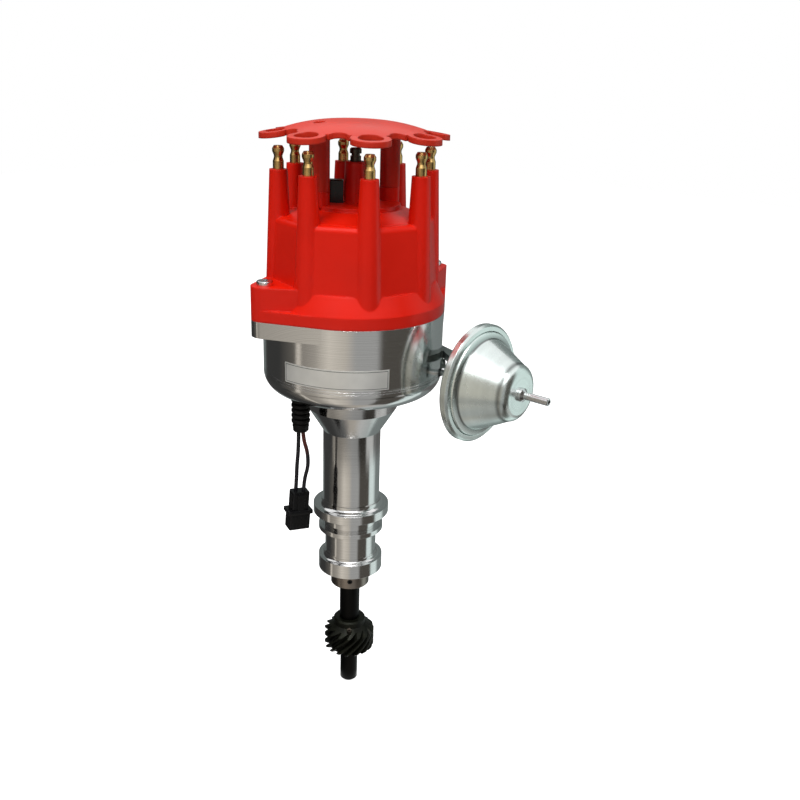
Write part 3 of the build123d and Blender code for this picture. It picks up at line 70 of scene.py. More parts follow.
# The parts of a noise's range over which colour and roughness change
COLOUR_SPAN, ROUGHNESS_SPAN = (0.35, 0.65), (0.3, 0.7)


# Settings

class DistributorColours(bpy.types.PropertyGroup):
    """Base colours of the distributor's materials"""

    def paint(label, text, value):
        return bpy.props.FloatVectorProperty(
            name=label, description=text, default=value, size=3, min=0.0, max=1.0, subtype="COLOR"
        )

    cap: paint("Cap", "Gloss red of the moulded cap and rotor", (0.61, 0.009, 0.0015))
    retainer: paint("Retainer", "Gloss red of the wire retainer", (0.47, 0.022, 0.009))
    aluminium: paint("Aluminium", "Polished turned housing", (0.80, 0.80, 0.80))
    zinc: paint("Zinc", "Plated canister shells", (0.80, 0.87, 0.85))
    plated: paint("Plated steel", "Small plated steel pieces", (0.60, 0.62, 0.62))
    bright: paint("Bright steel", "Screws and races", (0.74, 0.74, 0.75))
    brass: paint("Brass", "Terminal studs and blade", (0.56, 0.37, 0.14))
    # Near black brass for the coil stud under the retainer, far darker than the other terminals
    dark_brass: paint("Dark brass", "Tarnished coil stud", (0.08, 0.07, 0.055))
    bronze: paint("Bronze", "Sintered bushing", (0.42, 0.26, 0.12))
    copper: paint("Copper", "Enamelled pickup winding", (0.46, 0.16, 0.06))
    shaft: paint("Shaft", "Black oxide of the shaft", (0.012, 0.012, 0.012))
    gear: paint("Gear", "Oiled phosphate of the gear", (0.010, 0.011, 0.007))
    collar: paint("Collar", "Ground steel of the collar", (0.31, 0.27, 0.24))
    black_metal: paint("Black steel", "Blackened pins and rings", (0.018, 0.018, 0.019))
    bracket: paint("Bracket", "Dark plated bracket of the canister", (0.22, 0.25, 0.235))
    black_plastic: paint("Black plastic", "Plug and vent block", (0.004, 0.004, 0.0045))
    rubber: paint("Rubber", "Grommet and diaphragm", (0.004, 0.004, 0.004))
    lead_dark: paint("Left lead", "Dark insulation", (0.006, 0.005, 0.009))
    lead_warm: paint("Right lead", "Red brown insulation", (0.11, 0.016, 0.010))
    label: paint("Label plate", "Bare silver label", (0.78, 0.775, 0.74))
    label_line: paint("Label line", "Plain border line of the label", (0.10, 0.10, 0.10))


class DistributorSizes(bpy.types.PropertyGroup):
    """Sizes of the pieces that this scene adds, and of its stage"""

    def size(label, text, value):
        return bpy.props.FloatProperty(
            name=label, description=text, default=value, min=0.0, subtype="DISTANCE", unit="LENGTH"
        )

    def turn(label, text, value):
        return bpy.props.FloatProperty(
            name=label, description=text, default=math.radians(value), subtype="ANGLE", unit="ROTATION"
        )

    lead_radius: size("Lead radius", "Insulated lead", 0.00115)
    grommet_reach: size("Grommet reach", "Leads' exit from the shaft's axis", 0.0381)
    grommet_turn: turn("Grommet turn", "Leads' exit about the shaft", -98.9)
    hang_turn: turn("Hang turn", "Direction of the plane that the leads hang in", 42.0)
    label_radius: size("Bowl radius", "Bowl that carries the label", 0.0523)
    label_low: size("Label foot", "Lower edge of the label", 0.0965)
    label_high: size("Label top", "Upper edge of the label", 0.1079)
    label_start: turn("Label start", "Left end of the label about the shaft", -93.3)
    label_end: turn("Label end", "Right end of the label about the shaft", -25.7)
    label_thickness: size("Label thickness", "Foil label", 0.00012)
    bowl_bottom: size("Bowl underside", "Face under the bowl that the grommet stands on", 0.0825)
    plug_turn: turn("Plug turn", "Turn of the plug about its own axis", 24.0)
    return_wire: size("Return spring wire", "Wire diameter of the canister's spring", 0.0013)
    rod_stroke: size("Rod stroke", "Travel that presses the canister's spring", 0.0035)
    weight_pin_reach: size("Weight pin reach", "Outer end of an advance spring", 0.024)
    cam_ear_turn: turn("Cam ear turn", "Inner end of an advance spring", -55.0)
    cam_ear_reach: size("Cam ear reach", "Inner end of an advance spring from the axis", 0.0132)
    advance_coil: size("Advance coil", "Outer radius of an advance spring", 0.0022)
    advance_wire: size("Advance wire", "Wire diameter of an advance spring", 0.0007)
    advance_hook: size("Advance hook", "Length of an advance spring's hooks", 0.0032)
    hook_eye: size("Hook eye", "Radius of the hook on the weight pin", 0.0019)
    post_eye: size("Post eye", "Radius of the hook on the cam's post", 0.0016)
    pickup_turn: turn("Pickup turn", "Direction of the pickup coil", 250.0)
    pickup_height: size("Pickup height", "Middle of the pickup coil", 0.102)
    winding_start: size("Winding start", "Inner end of the winding from the axis", 0.0304)
    winding_length: size("Winding length", "Wound length on the bobbin", 0.0066)
    winding_radius: size("Winding radius", "Middle of the outer layer of wire", 0.0052)
    floor_level: size("Floor depth", "Floor below the flange's seat", 0.1252)
    camera_reach: size("Camera distance", "From the shaft's axis, level", 0.53934)
    camera_height: size("Camera height", "Above the flange's seat", 0.26991)
    camera_turn: turn("Camera turn", "Camera's place about the shaft", -48.0)
    camera_yaw: turn("Camera yaw", "Clockwise from +Y", -38.96)
    camera_pitch: turn("Camera pitch", "Below the horizon", 20.05)
    camera_roll: turn("Camera roll", "About the line of sight", -1.83)


# Shader helpers

def fresh(name, metallic, roughness, **sockets):
    """An empty node material with one Principled shader, its plain values set on its own sockets."""
    material = bpy.data.materials.new(name)
    material.use_nodes = True
    nodes = material.node_tree.nodes
    nodes.clear()
    output = nodes.new("ShaderNodeOutputMaterial")
    shader = nodes.new("ShaderNodeBsdfPrincipled")
    shader.inputs["Metallic"].default_value = metallic
    shader.inputs["Roughness"].default_value = roughness
    for socket, value in sockets.items():
        shader.inputs[socket.replace("_", " ")].default_value = value
    material.node_tree.links.new(shader.outputs["BSDF"], output.inputs["Surface"])
    return material, shader


def use_group(material, name, **values):
    """Adds a shared group to a material, with its inputs set."""
    node = material.node_tree.nodes.new("ShaderNodeGroup")
    node.node_tree = bpy.data.node_groups[name]
    for socket, value in values.items():
        node.inputs[socket.replace("_", " ")].default_value = value
    return node


def new_group(name, inputs, outputs):
    """An empty shader node group. A tuple makes a vector input; of the outputs, only Normal is a vector."""
    group = bpy.data.node_groups.new(name, "ShaderNodeTree")
    for label, value in inputs.items():
        kind = "NodeSocketVector" if isinstance(value, tuple) else "NodeSocketFloat"
        group.interface.new_socket(name=label, in_out="INPUT", socket_type=kind).default_value = value
    for label in outputs:
        kind = "NodeSocketVector" if label == "Normal" else "NodeSocketFloat"
        group.interface.new_socket(name=label, in_out="OUTPUT", socket_type=kind)
    return group, group.nodes.new("NodeGroupInput"), group.nodes.new("NodeGroupOutput")


def feed(tree, socket, value):
    """Links an input to another socket, or sets it to a plain value."""
    if isinstance(value, bpy.types.NodeSocket):
        tree.links.new(value, socket)
    else:
        socket.default_value = value


def node_of(tree, kind, output, inputs=None, operation=None, **values):
    """One node with its inputs fed; gives back one of its outputs."""
    node = tree.nodes.new(kind)
    if operation:
        node.operation = operation
    for socket, value in {**values, **(inputs or {})}.items():
        feed(tree, node.inputs[socket.replace("_", " ") if isinstance(socket, str) else socket], value)
    return node.outputs[output]


def maths(tree, operation, *operands):
    """One Math node; each operand is a socket or a number."""
    return node_of(tree, "ShaderNodeMath", "Value", dict(enumerate(operands)), operation)


def colour_mix(tree, share, first, second, blend_type="MIX"):
    """One colour Mix node; the share and both colours are sockets or plain values."""
    node = tree.nodes.new("ShaderNodeMix")
    node.data_type = "RGBA"
    node.blend_type = blend_type
    for index, value in ((MIX_SHARE, share), (MIX_FIRST, first), (MIX_SECOND, second)):
        feed(tree, node.inputs[index], value)
    return node.outputs[MIX_RESULT]


def rounded_bump(group, source, height):
    """The normal of a fine bump over rounded edges, from the group's own depth and edge."""
    bevel = group.nodes.new("ShaderNodeBevel")
    bevel.samples = 4
    group.links.new(source.outputs["Edge"], bevel.inputs["Radius"])
    return node_of(
        group, "ShaderNodeBump", "Normal",
        Strength=1.0, Distance=source.outputs["Depth"], Height=height, Normal=bevel.outputs["Normal"],
    )


def lathe_group():
    """Turning marks: fine rings about an axis, on the sides and on the faces alike."""
    group, source, sink = new_group(
        "Lathe marks",
        {"Centre": (0.0, 0.0, 0.0), "Axis": (0.0, 0.0, 1.0), "Rings": 4000.0, "Depth": 0.00001, "Edge": 0.0004},
        ("Normal", "Tone", "Smudge"),
    )
    links = group.links
    place = node_of(group, "ShaderNodeTexCoord", "Object")
    axis = source.outputs["Axis"]
    offset = node_of(group, "ShaderNodeVectorMath", "Vector", {0: place, 1: source.outputs["Centre"]}, "SUBTRACT")
    rise = node_of(group, "ShaderNodeVectorMath", "Value", {0: offset, 1: axis}, "DOT_PRODUCT")
    side = node_of(group, "ShaderNodeVectorMath", "Vector", {0: offset, 1: axis}, "CROSS_PRODUCT")
    reach = node_of(group, "ShaderNodeVectorMath", "Value", {0: side}, "LENGTH")
    run = maths(group, "MULTIPLY", maths(group, "ADD", rise, reach), source.outputs["Rings"])
    rings = node_of(group, "ShaderNodeTexNoise", "Fac", Detail=4.0, Roughness=0.65, Scale=1.0)
    rings.node.noise_dimensions = "1D"
    links.new(run, rings.node.inputs["W"])
    smudge = node_of(group, "ShaderNodeTexNoise", "Fac", Vector=offset, Scale=70.0, Detail=3.0)
    links.new(rounded_bump(group, source, rings), sink.inputs["Normal"])
    links.new(rings, sink.inputs["Tone"])
    links.new(smudge, sink.inputs["Smudge"])


def skin_group():
    """Moulded or cast skin: a fine bump over rounded edges, with a slow change of tone."""
    group, source, sink = new_group(
        "Moulded skin", {"Grain": 900.0, "Depth": 0.00001, "Edge": 0.0005, "Patch": 40.0}, ("Normal", "Tone")
    )
    links = group.links
    place = node_of(group, "ShaderNodeTexCoord", "Object")
    grain = node_of(group, "ShaderNodeTexNoise", "Fac", Vector=place, Scale=source.outputs["Grain"], Detail=2.0)
    patch = node_of(group, "ShaderNodeTexNoise", "Fac", Vector=place, Scale=source.outputs["Patch"], Detail=3.0)
    links.new(rounded_bump(group, source, grain), sink.inputs["Normal"])
    links.new(patch, sink.inputs["Tone"])


def crease_shade_group():
    """Painted shade in a crease: a dark ring where two pressed forms meet, at one distance along an axis."""
    group, source, sink = new_group(
        "Pressed crease", {"Axis": (1.0, 0.0, 0.0), "Distance": 0.0, "Width": 0.001, "Clean": 0.0}, ("Mask",)
    )
    place = node_of(group, "ShaderNodeTexCoord", "Object")
    run = node_of(group, "ShaderNodeVectorMath", "Value", {0: place, 1: source.outputs["Axis"]}, "DOT_PRODUCT")
    away = maths(group, "ABSOLUTE", maths(group, "SUBTRACT", run, source.outputs["Distance"]))
    near = node_of(
        group, "ShaderNodeMapRange", "Result",
        Value=away, From_Min=0.0, From_Max=source.outputs["Width"], To_Min=source.outputs["Clean"], To_Max=1.0,
    )
    near.node.interpolation_type = "SMOOTHSTEP"
    group.links.new(near, sink.inputs["Mask"])


def shades(material, factor, low, high):
    """A colour ramp between two colours, led by a factor."""
    ramp = material.node_tree.nodes.new("ShaderNodeValToRGB")
    for element, position, colour in zip(ramp.color_ramp.elements, COLOUR_SPAN, (low, high)):
        element.position = position
        element.color = (*colour, 1.0)
    material.node_tree.links.new(factor, ramp.inputs["Fac"])
    return ramp.outputs["Color"]


def spread(material, factor, low, high):
    """A number between two values, led by a factor."""
    start, end = ROUGHNESS_SPAN
    return node_of(
        material.node_tree, "ShaderNodeMapRange", "Result",
        Value=factor, From_Min=start, From_Max=end, To_Min=low, To_Max=high,
    )


def tint(colour, share):
    """A colour made lighter or darker."""
    return tuple(min(1.0, channel * share) for channel in colour)


def dressed(material, shader, marks, colour, change, roughness):
    """Leads a shader's normal, colour and roughness from a group's normal and tone."""
    links = material.node_tree.links
    links.new(marks.outputs["Normal"], shader.inputs["Normal"])
    tones = shades(material, marks.outputs["Tone"], tint(colour, 1 - change), tint(colour, 1 + change))
    links.new(tones, shader.inputs["Base Color"])
    links.new(roughness, shader.inputs["Roughness"])
    return material


def turned_metal(name, colour, roughness, rings, depth, centre=(0, 0, 0), axis=(0, 0, 1), edge=0.0004, change=0.10):
    """Turned or drawn metal with rings about its axis."""
    material, shader = fresh(name, 1.0, roughness)
    marks = use_group(material, "Lathe marks", Centre=centre, Axis=axis, Rings=rings, Depth=depth, Edge=edge)
    uneven = spread(material, marks.outputs["Smudge"], roughness * 0.8, roughness * 1.3)
    return dressed(material, shader, marks, colour, change, uneven)


def skinned(name, colour, metallic, roughness, grain, depth, edge=0.0004, patch=40.0, change=0.06, **sockets):
    """Moulded, cast or coated surface with a fine grain."""
    material, shader = fresh(name, metallic, roughness, **sockets)
    skin = use_group(material, "Moulded skin", Grain=grain, Depth=depth, Edge=edge, Patch=patch)
    uneven = spread(material, skin.outputs["Tone"], roughness * 0.85, roughness * 1.2)
    return dressed(material, shader, skin, colour, change, uneven)


def wear(material, *names):
    """Gives CAD nodes one material on all their slots."""
    for name in names:
        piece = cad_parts[name]
        if not piece.data.materials:
            piece.data.materials.append(material)
        for slot in piece.material_slots:
            slot.link = "OBJECT"
            slot.material = material


# Geometry Nodes helpers

def coil_tree():
    """A wire wound in a coil up the Z axis, for the springs and for the pickup's winding."""
    tree = bpy.data.node_groups.new("Wound coil", "GeometryNodeTree")
    tree.is_modifier = True
    tree.interface.new_socket(name="Geometry", in_out="OUTPUT", socket_type="NodeSocketGeometry")
    for label, value in {"Turns": 6.0, "Coil radius": 0.005, "Length": 0.02, "Wire radius": 0.0005}.items():
        tree.interface.new_socket(name=label, in_out="INPUT", socket_type="NodeSocketFloat").default_value = value
    steps = tree.interface.new_socket(name="Steps per turn", in_out="INPUT", socket_type="NodeSocketInt")
    steps.default_value = 28
    tree.interface.new_socket(name="Material", in_out="INPUT", socket_type="NodeSocketMaterial")
    nodes = {
        name: tree.nodes.new(kind)
        for name, kind in (
            ("source", "NodeGroupInput"), ("sink", "NodeGroupOutput"), ("spiral", "GeometryNodeCurveSpiral"),
            ("ring", "GeometryNodeCurvePrimitiveCircle"), ("sweep", "GeometryNodeCurveToMesh"),
            ("smooth", "GeometryNodeSetShadeSmooth"), ("solid", "GeometryNodeRealizeInstances"),
            ("paint", "GeometryNodeSetMaterial"),
        )
    }
    nodes["ring"].inputs["Resolution"].default_value = 10
    nodes["sweep"].inputs["Fill Caps"].default_value = True
    for giver, output, taker, entry in (
        ("source", "Steps per turn", "spiral", "Resolution"),
        ("source", "Turns", "spiral", "Rotations"),
        ("source", "Coil radius", "spiral", "Start Radius"),
        ("source", "Coil radius", "spiral", "End Radius"),
        ("source", "Length", "spiral", "Height"),
        ("source", "Wire radius", "ring", "Radius"),
        ("spiral", "Curve", "sweep", "Curve"),
        ("ring", "Curve", "sweep", "Profile Curve"),
        ("sweep", "Mesh", "smooth", "Geometry"),
        ("smooth", "Geometry", "solid", "Geometry"),
        ("solid", "Geometry", "paint", "Geometry"),
        ("source", "Material", "paint", "Material"),
        ("paint", "Geometry", "sink", "Geometry"),
    ):
        tree.links.new(nodes[giver].outputs[output], nodes[taker].inputs[entry])


def grown(context, name, place, **values):
    """A plain mesh from the coil's Geometry Nodes tree with its inputs set, moved to its place."""
    tree = bpy.data.node_groups["Wound coil"]
    holder = bpy.data.objects.new(name, bpy.data.meshes.new(f"{name}_seed"))
    context.collection.objects.link(holder)
    modifier = holder.modifiers.new(name, "NODES")
    modifier.node_group = tree
    wanted = {label.replace("_", " "): value for label, value in values.items()}
    for item in tree.interface.items_tree:
        if item.item_type == "SOCKET" and item.in_out == "INPUT" and item.name in wanted:
            modifier[item.identifier] = wanted[item.name]
    finished = bpy.data.meshes.new_from_object(holder.evaluated_get(context.evaluated_depsgraph_get()))
    holder.modifiers.clear()
    holder.data = finished
    finished.transform(place)
    return holder


def heading(turn):
    """The level direction at an angle about the shaft."""
    return Vector((math.cos(turn), math.sin(turn), 0))


def box_of(node):
    """The low corner, high corner and middle of a CAD node."""
    low, high = (Vector(corner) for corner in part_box(node))
    return low, high, (low + high) / 2


def along_line(start, way):
    """The move that takes the Z axis from the origin to a line's start and direction."""
    return Matrix.Translation(start) @ Vector(way).to_track_quat("Z", "Y").to_matrix().to_4x4()


def piece_of(context, name, form, material):
    """A mesh object from an edit mesh, with faces that point outwards."""
    bmesh.ops.recalc_face_normals(form, faces=form.faces)
    mesh = bpy.data.meshes.new(name)
    form.to_mesh(mesh)
    form.free()
    mesh.materials.append(material)
    piece = bpy.data.objects.new(name, mesh)
    context.collection.objects.link(piece)
    return piece


def form_of(verts, faces):
    """An edit mesh from lists of corners and faces."""
    mesh = bpy.data.meshes.new("form")
    mesh.from_pydata(verts, [], faces)
    form = bmesh.new()
    form.from_mesh(mesh)
    bpy.data.meshes.remove(mesh)
    return form


def joined(form, mesh):
    """Adds a mesh to an edit mesh and drops it."""
    form.from_mesh(mesh)
    bpy.data.meshes.remove(mesh)


def smoothed(mesh):
    """Shades every face of a mesh smooth."""
    mesh.polygons.foreach_set("use_smooth", [True] * len(mesh.polygons))


def add_band(verts, faces, turns, heights, radii, steps):
    """Adds a closed band, bent about the shaft, to the lists of a mesh."""
    base = len(verts)
    start, end = turns
    for index in range(steps + 1):
        angle = start + (end - start) * index / steps
        across, along = math.cos(angle), math.sin(angle)
        verts += [(radius * across, radius * along, height) for radius in radii for height in heights]
    last = base + 4 * steps
    for near in range(base, last, 4):
        far = near + 4
        faces += [
            (near, near + 1, far + 1, far), (near + 2, far + 2, far + 3, near + 3),
            (near, far, far + 2, near + 2), (near + 1, near + 3, far + 3, far + 1),
        ]
    faces += [(base, base + 2, base + 3, base + 1), (last, last + 1, last + 3, last + 2)]


def lathe(context, name, outline, place, material, steps=64):
    """A closed turned form from its outline of radius and height pairs, in metres."""
    verts, faces = [], []
    for radius, height in outline:
        for index in range(steps):
            angle = math.tau * index / steps
            verts.append(place @ Vector((radius * math.cos(angle), radius * math.sin(angle), height)))
    for row in range(len(outline) - 1):
        for index in range(steps):
            after = (index + 1) % steps
            low, high = row * steps, (row + 1) * steps
            faces.append((low + index, low + after, high + after, high + index))
    faces.append(tuple(range(steps)))
    faces.append(tuple(range((len(outline) - 1) * steps, len(outline) * steps)))
    piece = piece_of(context, name, form_of(verts, faces), material)
    smoothed(piece.data)
    return piece


def round_wire(name, points, radius, rings):
    """A round wire along a smooth curve through its control points."""
    curve = bpy.data.curves.new(name, "CURVE")
    curve.dimensions = "3D"
    curve.bevel_depth = radius
    curve.bevel_resolution = rings
    spline = curve.splines.new("NURBS")
    spline.points.add(len(points) - 1)
    for spot, point in zip(spline.points, points):
        spot.co = (*point, 1.0)
    spline.order_u = 3
    spline.use_endpoint_u = True
    return curve


# Pieces

class Step:
    """What every operator here shares: it runs its own build() with the scene's sizes and colours."""

    def execute(self, context):
        self.build(context, context.scene.distributor_sizes, context.scene.distributor_colours)
        return {"FINISHED"}


class DISTRIBUTOR_OT_groups(Step, bpy.types.Operator):
    """Builds the shader groups that the materials share"""

    bl_idname = "distributor.groups"
    bl_label = "Shared shader groups"

    def build(self, context, sizes, colours):
        lathe_group()
        skin_group()
        crease_shade_group()
        coil_tree()


# Turned pieces: material, colour, roughness, rings, depth, other settings, nodes
TURNED = (
    ("Aluminium", "aluminium", 0.11, 2600.0, 0.00001, {"edge": 0.00025}, ("housing",)),
    ("Washer steel", "plated", 0.3, 5000.0, 0.00001, {}, ("thrust_washer",)),
    ("Race steel", "bright", 0.12, 6000.0, 0.000004, {}, ("bearing_outer", "bearing_inner")),
    ("Shaft steel", "shaft", 0.36, 5200.0, 0.00001, {"change": 0.25}, ("drive_shaft",)),
    ("Collar steel", "collar", 0.3, 3800.0, 0.00001, {"change": 0.15}, ("shaft_collar", "gear_pin")),
)

PLATED_NODES = (
    "clip_screws", "plate_clips", "advance_carrier", "reluctor", "weight_a", "weight_b", "advance_cam", "shaft_nut",
    "pickup_plate", "pickup_pole", "rotor_screws", "vacuum_rod",
)

# Other pieces: material, colour, metallic, roughness, grain, depth, edge, patch, change, other sockets, nodes
SKINNED = (
    ("Bronze", "bronze", 1.0, 0.45, 2500.0, 0.00003, 0.0004, 40.0, 0.06, {}, ("lower_bushing",)),
    ("Ball steel", "bright", 1.0, 0.08, 300.0, 0.000001, 0.0004, 40.0, 0.06, {}, ("bearing_balls",)),
    (
        "Cap red", "cap", 0.0, 0.32, 700.0, 0.00002, 0.0014, 30.0, 0.04,
        {"Specular_IOR_Level": 0.28}, ("cap", "rotor"),
    ),
    (
        "Retainer red", "retainer", 0.0, 0.38, 500.0, 0.00002, 0.0012, 30.0, 0.06,
        {"Coat_Weight": 0.12, "Coat_Roughness": 0.2, "Specular_IOR_Level": 0.2}, ("wire_retainer",),
    ),
    (
        "Brass", "brass", 1.0, 0.22, 900.0, 0.00002, 0.0003, 160.0, 0.25, {},
        ("cap_terminals", "rotor_blade", "plug_pins"),
    ),
    ("Dark brass", "dark_brass", 1.0, 0.35, 900.0, 0.00002, 0.0003, 160.0, 0.2, {}, ("centre_terminal",)),
    (
        "Bright steel", "bright", 1.0, 0.2, 1500.0, 0.00001, 0.0003, 120.0, 0.1, {},
        ("cap_screws", "retainer_screws", "lever_pin", "weight_pins"),
    ),
    ("Plated steel", "plated", 1.0, 0.32, 1800.0, 0.00001, 0.0003, 90.0, 0.12, {}, PLATED_NODES),
    ("Black steel", "black_metal", 0.4, 0.4, 1200.0, 0.00002, 0.0003, 60.0, 0.2, {}, ("retaining_ring", "collar_pin")),
    ("Gear steel", "gear", 0.7, 0.38, 1400.0, 0.00004, 0.0002, 200.0, 0.45, {}, ("drive_gear",)),
    ("Winding", "copper", 0.6, 0.35, 2600.0, 0.00008, 0.0003, 200.0, 0.2, {}, ("pickup_coil",)),
    (
        "Bracket plate", "bracket", 1.0, 0.34, 1500.0, 0.00002, 0.0004, 90.0, 0.2, {},
        ("canister_bracket", "bracket_screws"),
    ),
    (
        "Rubber", "rubber", 0.0, 0.45, 1200.0, 0.00003, 0.0002, 60.0, 0.2,
        {"Specular_IOR_Level": 0.2}, ("grommet", "diaphragm"),
    ),
    (
        "Black plastic", "black_plastic", 0.0, 0.24, 1500.0, 0.00001, 0.0003, 60.0, 0.15,
        {"Specular_IOR_Level": 0.35}, ("plug", "vent_block", "carbon_button"),
    ),
)


class DISTRIBUTOR_OT_finishes(Step, bpy.types.Operator):
    """Metal, moulded and rubber finishes of the CAD pieces"""

    bl_idname = "distributor.finishes"
    bl_label = "Finishes"

    def build(self, context, sizes, colours):
        for name, colour, roughness, rings, depth, settings, nodes in TURNED:
            wear(turned_metal(name, getattr(colours, colour), roughness, rings, depth, **settings), *nodes)
        for name, colour, *values, sockets, nodes in SKINNED:
            wear(skinned(name, getattr(colours, colour), *values, **sockets), *nodes)


# Painted shade in the canister's creases: distance along X, width, and the share of the colour left at the middle
CREASE_SHADES = ((0.0780, 0.0010, 0.25), (0.0975, 0.0022, 0.35), (0.0705, 0.0008, 0.4))


class DISTRIBUTOR_OT_canister(Step, bpy.types.Operator):
    """Plated canister shells with fine rings about their axis, and painted shade in their creases"""

    bl_idname = "distributor.canister"
    bl_label = "Vacuum canister"

    def build(self, context, sizes, colours):
        centre = (0.0, *box_of("canister_front")[2].yz)
        shell = turned_metal("Zinc shell", colours.zinc, 0.25, 500.0, 0.000004, centre, (1, 0, 0), 0.0006, 0.04)
        tree = shell.node_tree
        paint = tree.nodes["Principled BSDF"].inputs["Base Color"]
        colour = paint.links[0].from_socket
        # Each crease multiplies the shell's colour darker: painted shade where the pressed forms meet
        for distance, width, kept in CREASE_SHADES:
            crease = use_group(shell, "Pressed crease", Axis=(1, 0, 0), Distance=distance, Width=width, Clean=kept)
            colour = colour_mix(tree, 1.0, colour, crease.outputs["Mask"], "MULTIPLY")
        tree.links.new(colour, paint)
        wear(shell, "canister_rear", "canister_front")
        wear(turned_metal("Nipple steel", colours.bright, 0.2, 4000.0, 0.00001, centre, (1, 0, 0)), "canister_nipple")


def hang_point(sizes, across, height):
    """A point in the plane that the leads hang in, from millimetres across and up."""
    middle = heading(sizes.grommet_turn) * sizes.grommet_reach
    return middle + heading(sizes.hang_turn) * across / 1000 + Vector((0, 0, height / 1000))


def on_plug(across, up):
    """A point beside the plug's top, as the CAD source has it, in millimetres."""
    shift, top, lean = -0.9, 23.9, math.radians(4.0)
    return (
        shift + across * math.cos(lean) + up * math.sin(lean),
        top - across * math.sin(lean) + up * math.cos(lean),
    )


class DISTRIBUTOR_OT_leads(Step, bpy.types.Operator):
    """Two signal leads between the grommet and the plug"""

    bl_idname = "distributor.leads"
    bl_label = "Signal leads"

    def build(self, context, sizes, colours):
        # Across and up in the plane that the leads hang in, in millimetres, point for point as the CAD source has them
        routes = {
            "lead_left": ((-1.3, 64), (-1.3, 52), (-2.4, 40), on_plug(-2.3, 7), on_plug(-2.3, -1)),
            "lead_right": ((1.3, 64), (1.3, 57), (3.9, 48.5), (4.2, 39), on_plug(2.3, 8), on_plug(2.3, -1)),
        }
        for name, route in routes.items():
            points = [hang_point(sizes, across, height) for across, height in route]
            curve = round_wire(f"{name}_line", points, sizes.lead_radius, rings=5)
            curve.splines[0].resolution_u = 16
            wire = bpy.data.objects.new(f"{name}_cord", curve)
            context.collection.objects.link(wire)
            insulation = skinned(f"{name} insulation", colours.lead_dark, 0.0, 0.3, 900.0, 0.00003, 0.0002, 90.0, 0.2)
            if name == "lead_right":
                self.faded(insulation, colours)
            curve.materials.append(insulation)
            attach(wire, "housing")
            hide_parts(name)

    def faded(self, material, colours):
        """Red brown insulation at the grommet, near black farther down."""
        fade_low, fade_high = 0.046, 0.054
        tree = material.node_tree
        paint = tree.nodes["Principled BSDF"].inputs["Base Color"]
        dark = paint.links[0].from_socket
        place = node_of(tree, "ShaderNodeTexCoord", "Object")
        height = node_of(tree, "ShaderNodeSeparateXYZ", "Z", Vector=place)
        share = node_of(tree, "ShaderNodeMapRange", "Result", Value=height, From_Min=fade_low, From_Max=fade_high)
        tree.links.new(colour_mix(tree, share, dark, (*colours.lead_warm, 1.0)), paint)


class DISTRIBUTOR_OT_label(Step, bpy.types.Operator):
    """Bare foil label wrapped on the bowl"""

    bl_idname = "distributor.label"
    bl_label = "Label plate"

    def build(self, context, sizes, colours):
        start, end, low, high = sizes.label_start, sizes.label_end, sizes.label_low, sizes.label_high
        face, sunk = sizes.label_radius + sizes.label_thickness, 0.0002
        foil = skinned("Foil label", colours.label, 0.6, 0.4, 2500.0, 0.00001, 0.0001, 80.0, 0.05)
        verts, faces = [], []
        add_band(verts, faces, (start, end), (low, high), (sizes.label_radius - sunk, face), steps=48)
        plate = piece_of(context, "label_plate", form_of(verts, faces), foil)
        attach(plate, "housing")

        # The plain printed line just inside the edge
        inset, width, half = 0.0007, 0.0003, 0.00003
        low, high = low + inset, high - inset
        start, end = start + inset / face, end - inset / face
        verts, faces = [], []
        for turns, heights, steps in (
            ((start, end), (low, low + width), 40),
            ((start, end), (high - width, high), 40),
            ((start, start + width / face), (low, high), 1),
            ((end - width / face, end), (low, high), 1),
        ):
            add_band(verts, faces, turns, heights, (face - half, face + half), steps)
        ink = skinned("Label ink", colours.label_line, 0.0, 0.5, 2500.0, 0.00001, 0.0001, 80.0, 0.05)
        line = piece_of(context, "label_border", form_of(verts, faces), ink)
        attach(line, "housing")


# Control points of a hook's eye, along the spring and across it, in shares of its radius
EYE = ((1.1, 1.0), (0.0, 1.25), (-1.25, 0.5), (-1.25, -0.5), (0.0, -1.25), (0.9, -0.9))


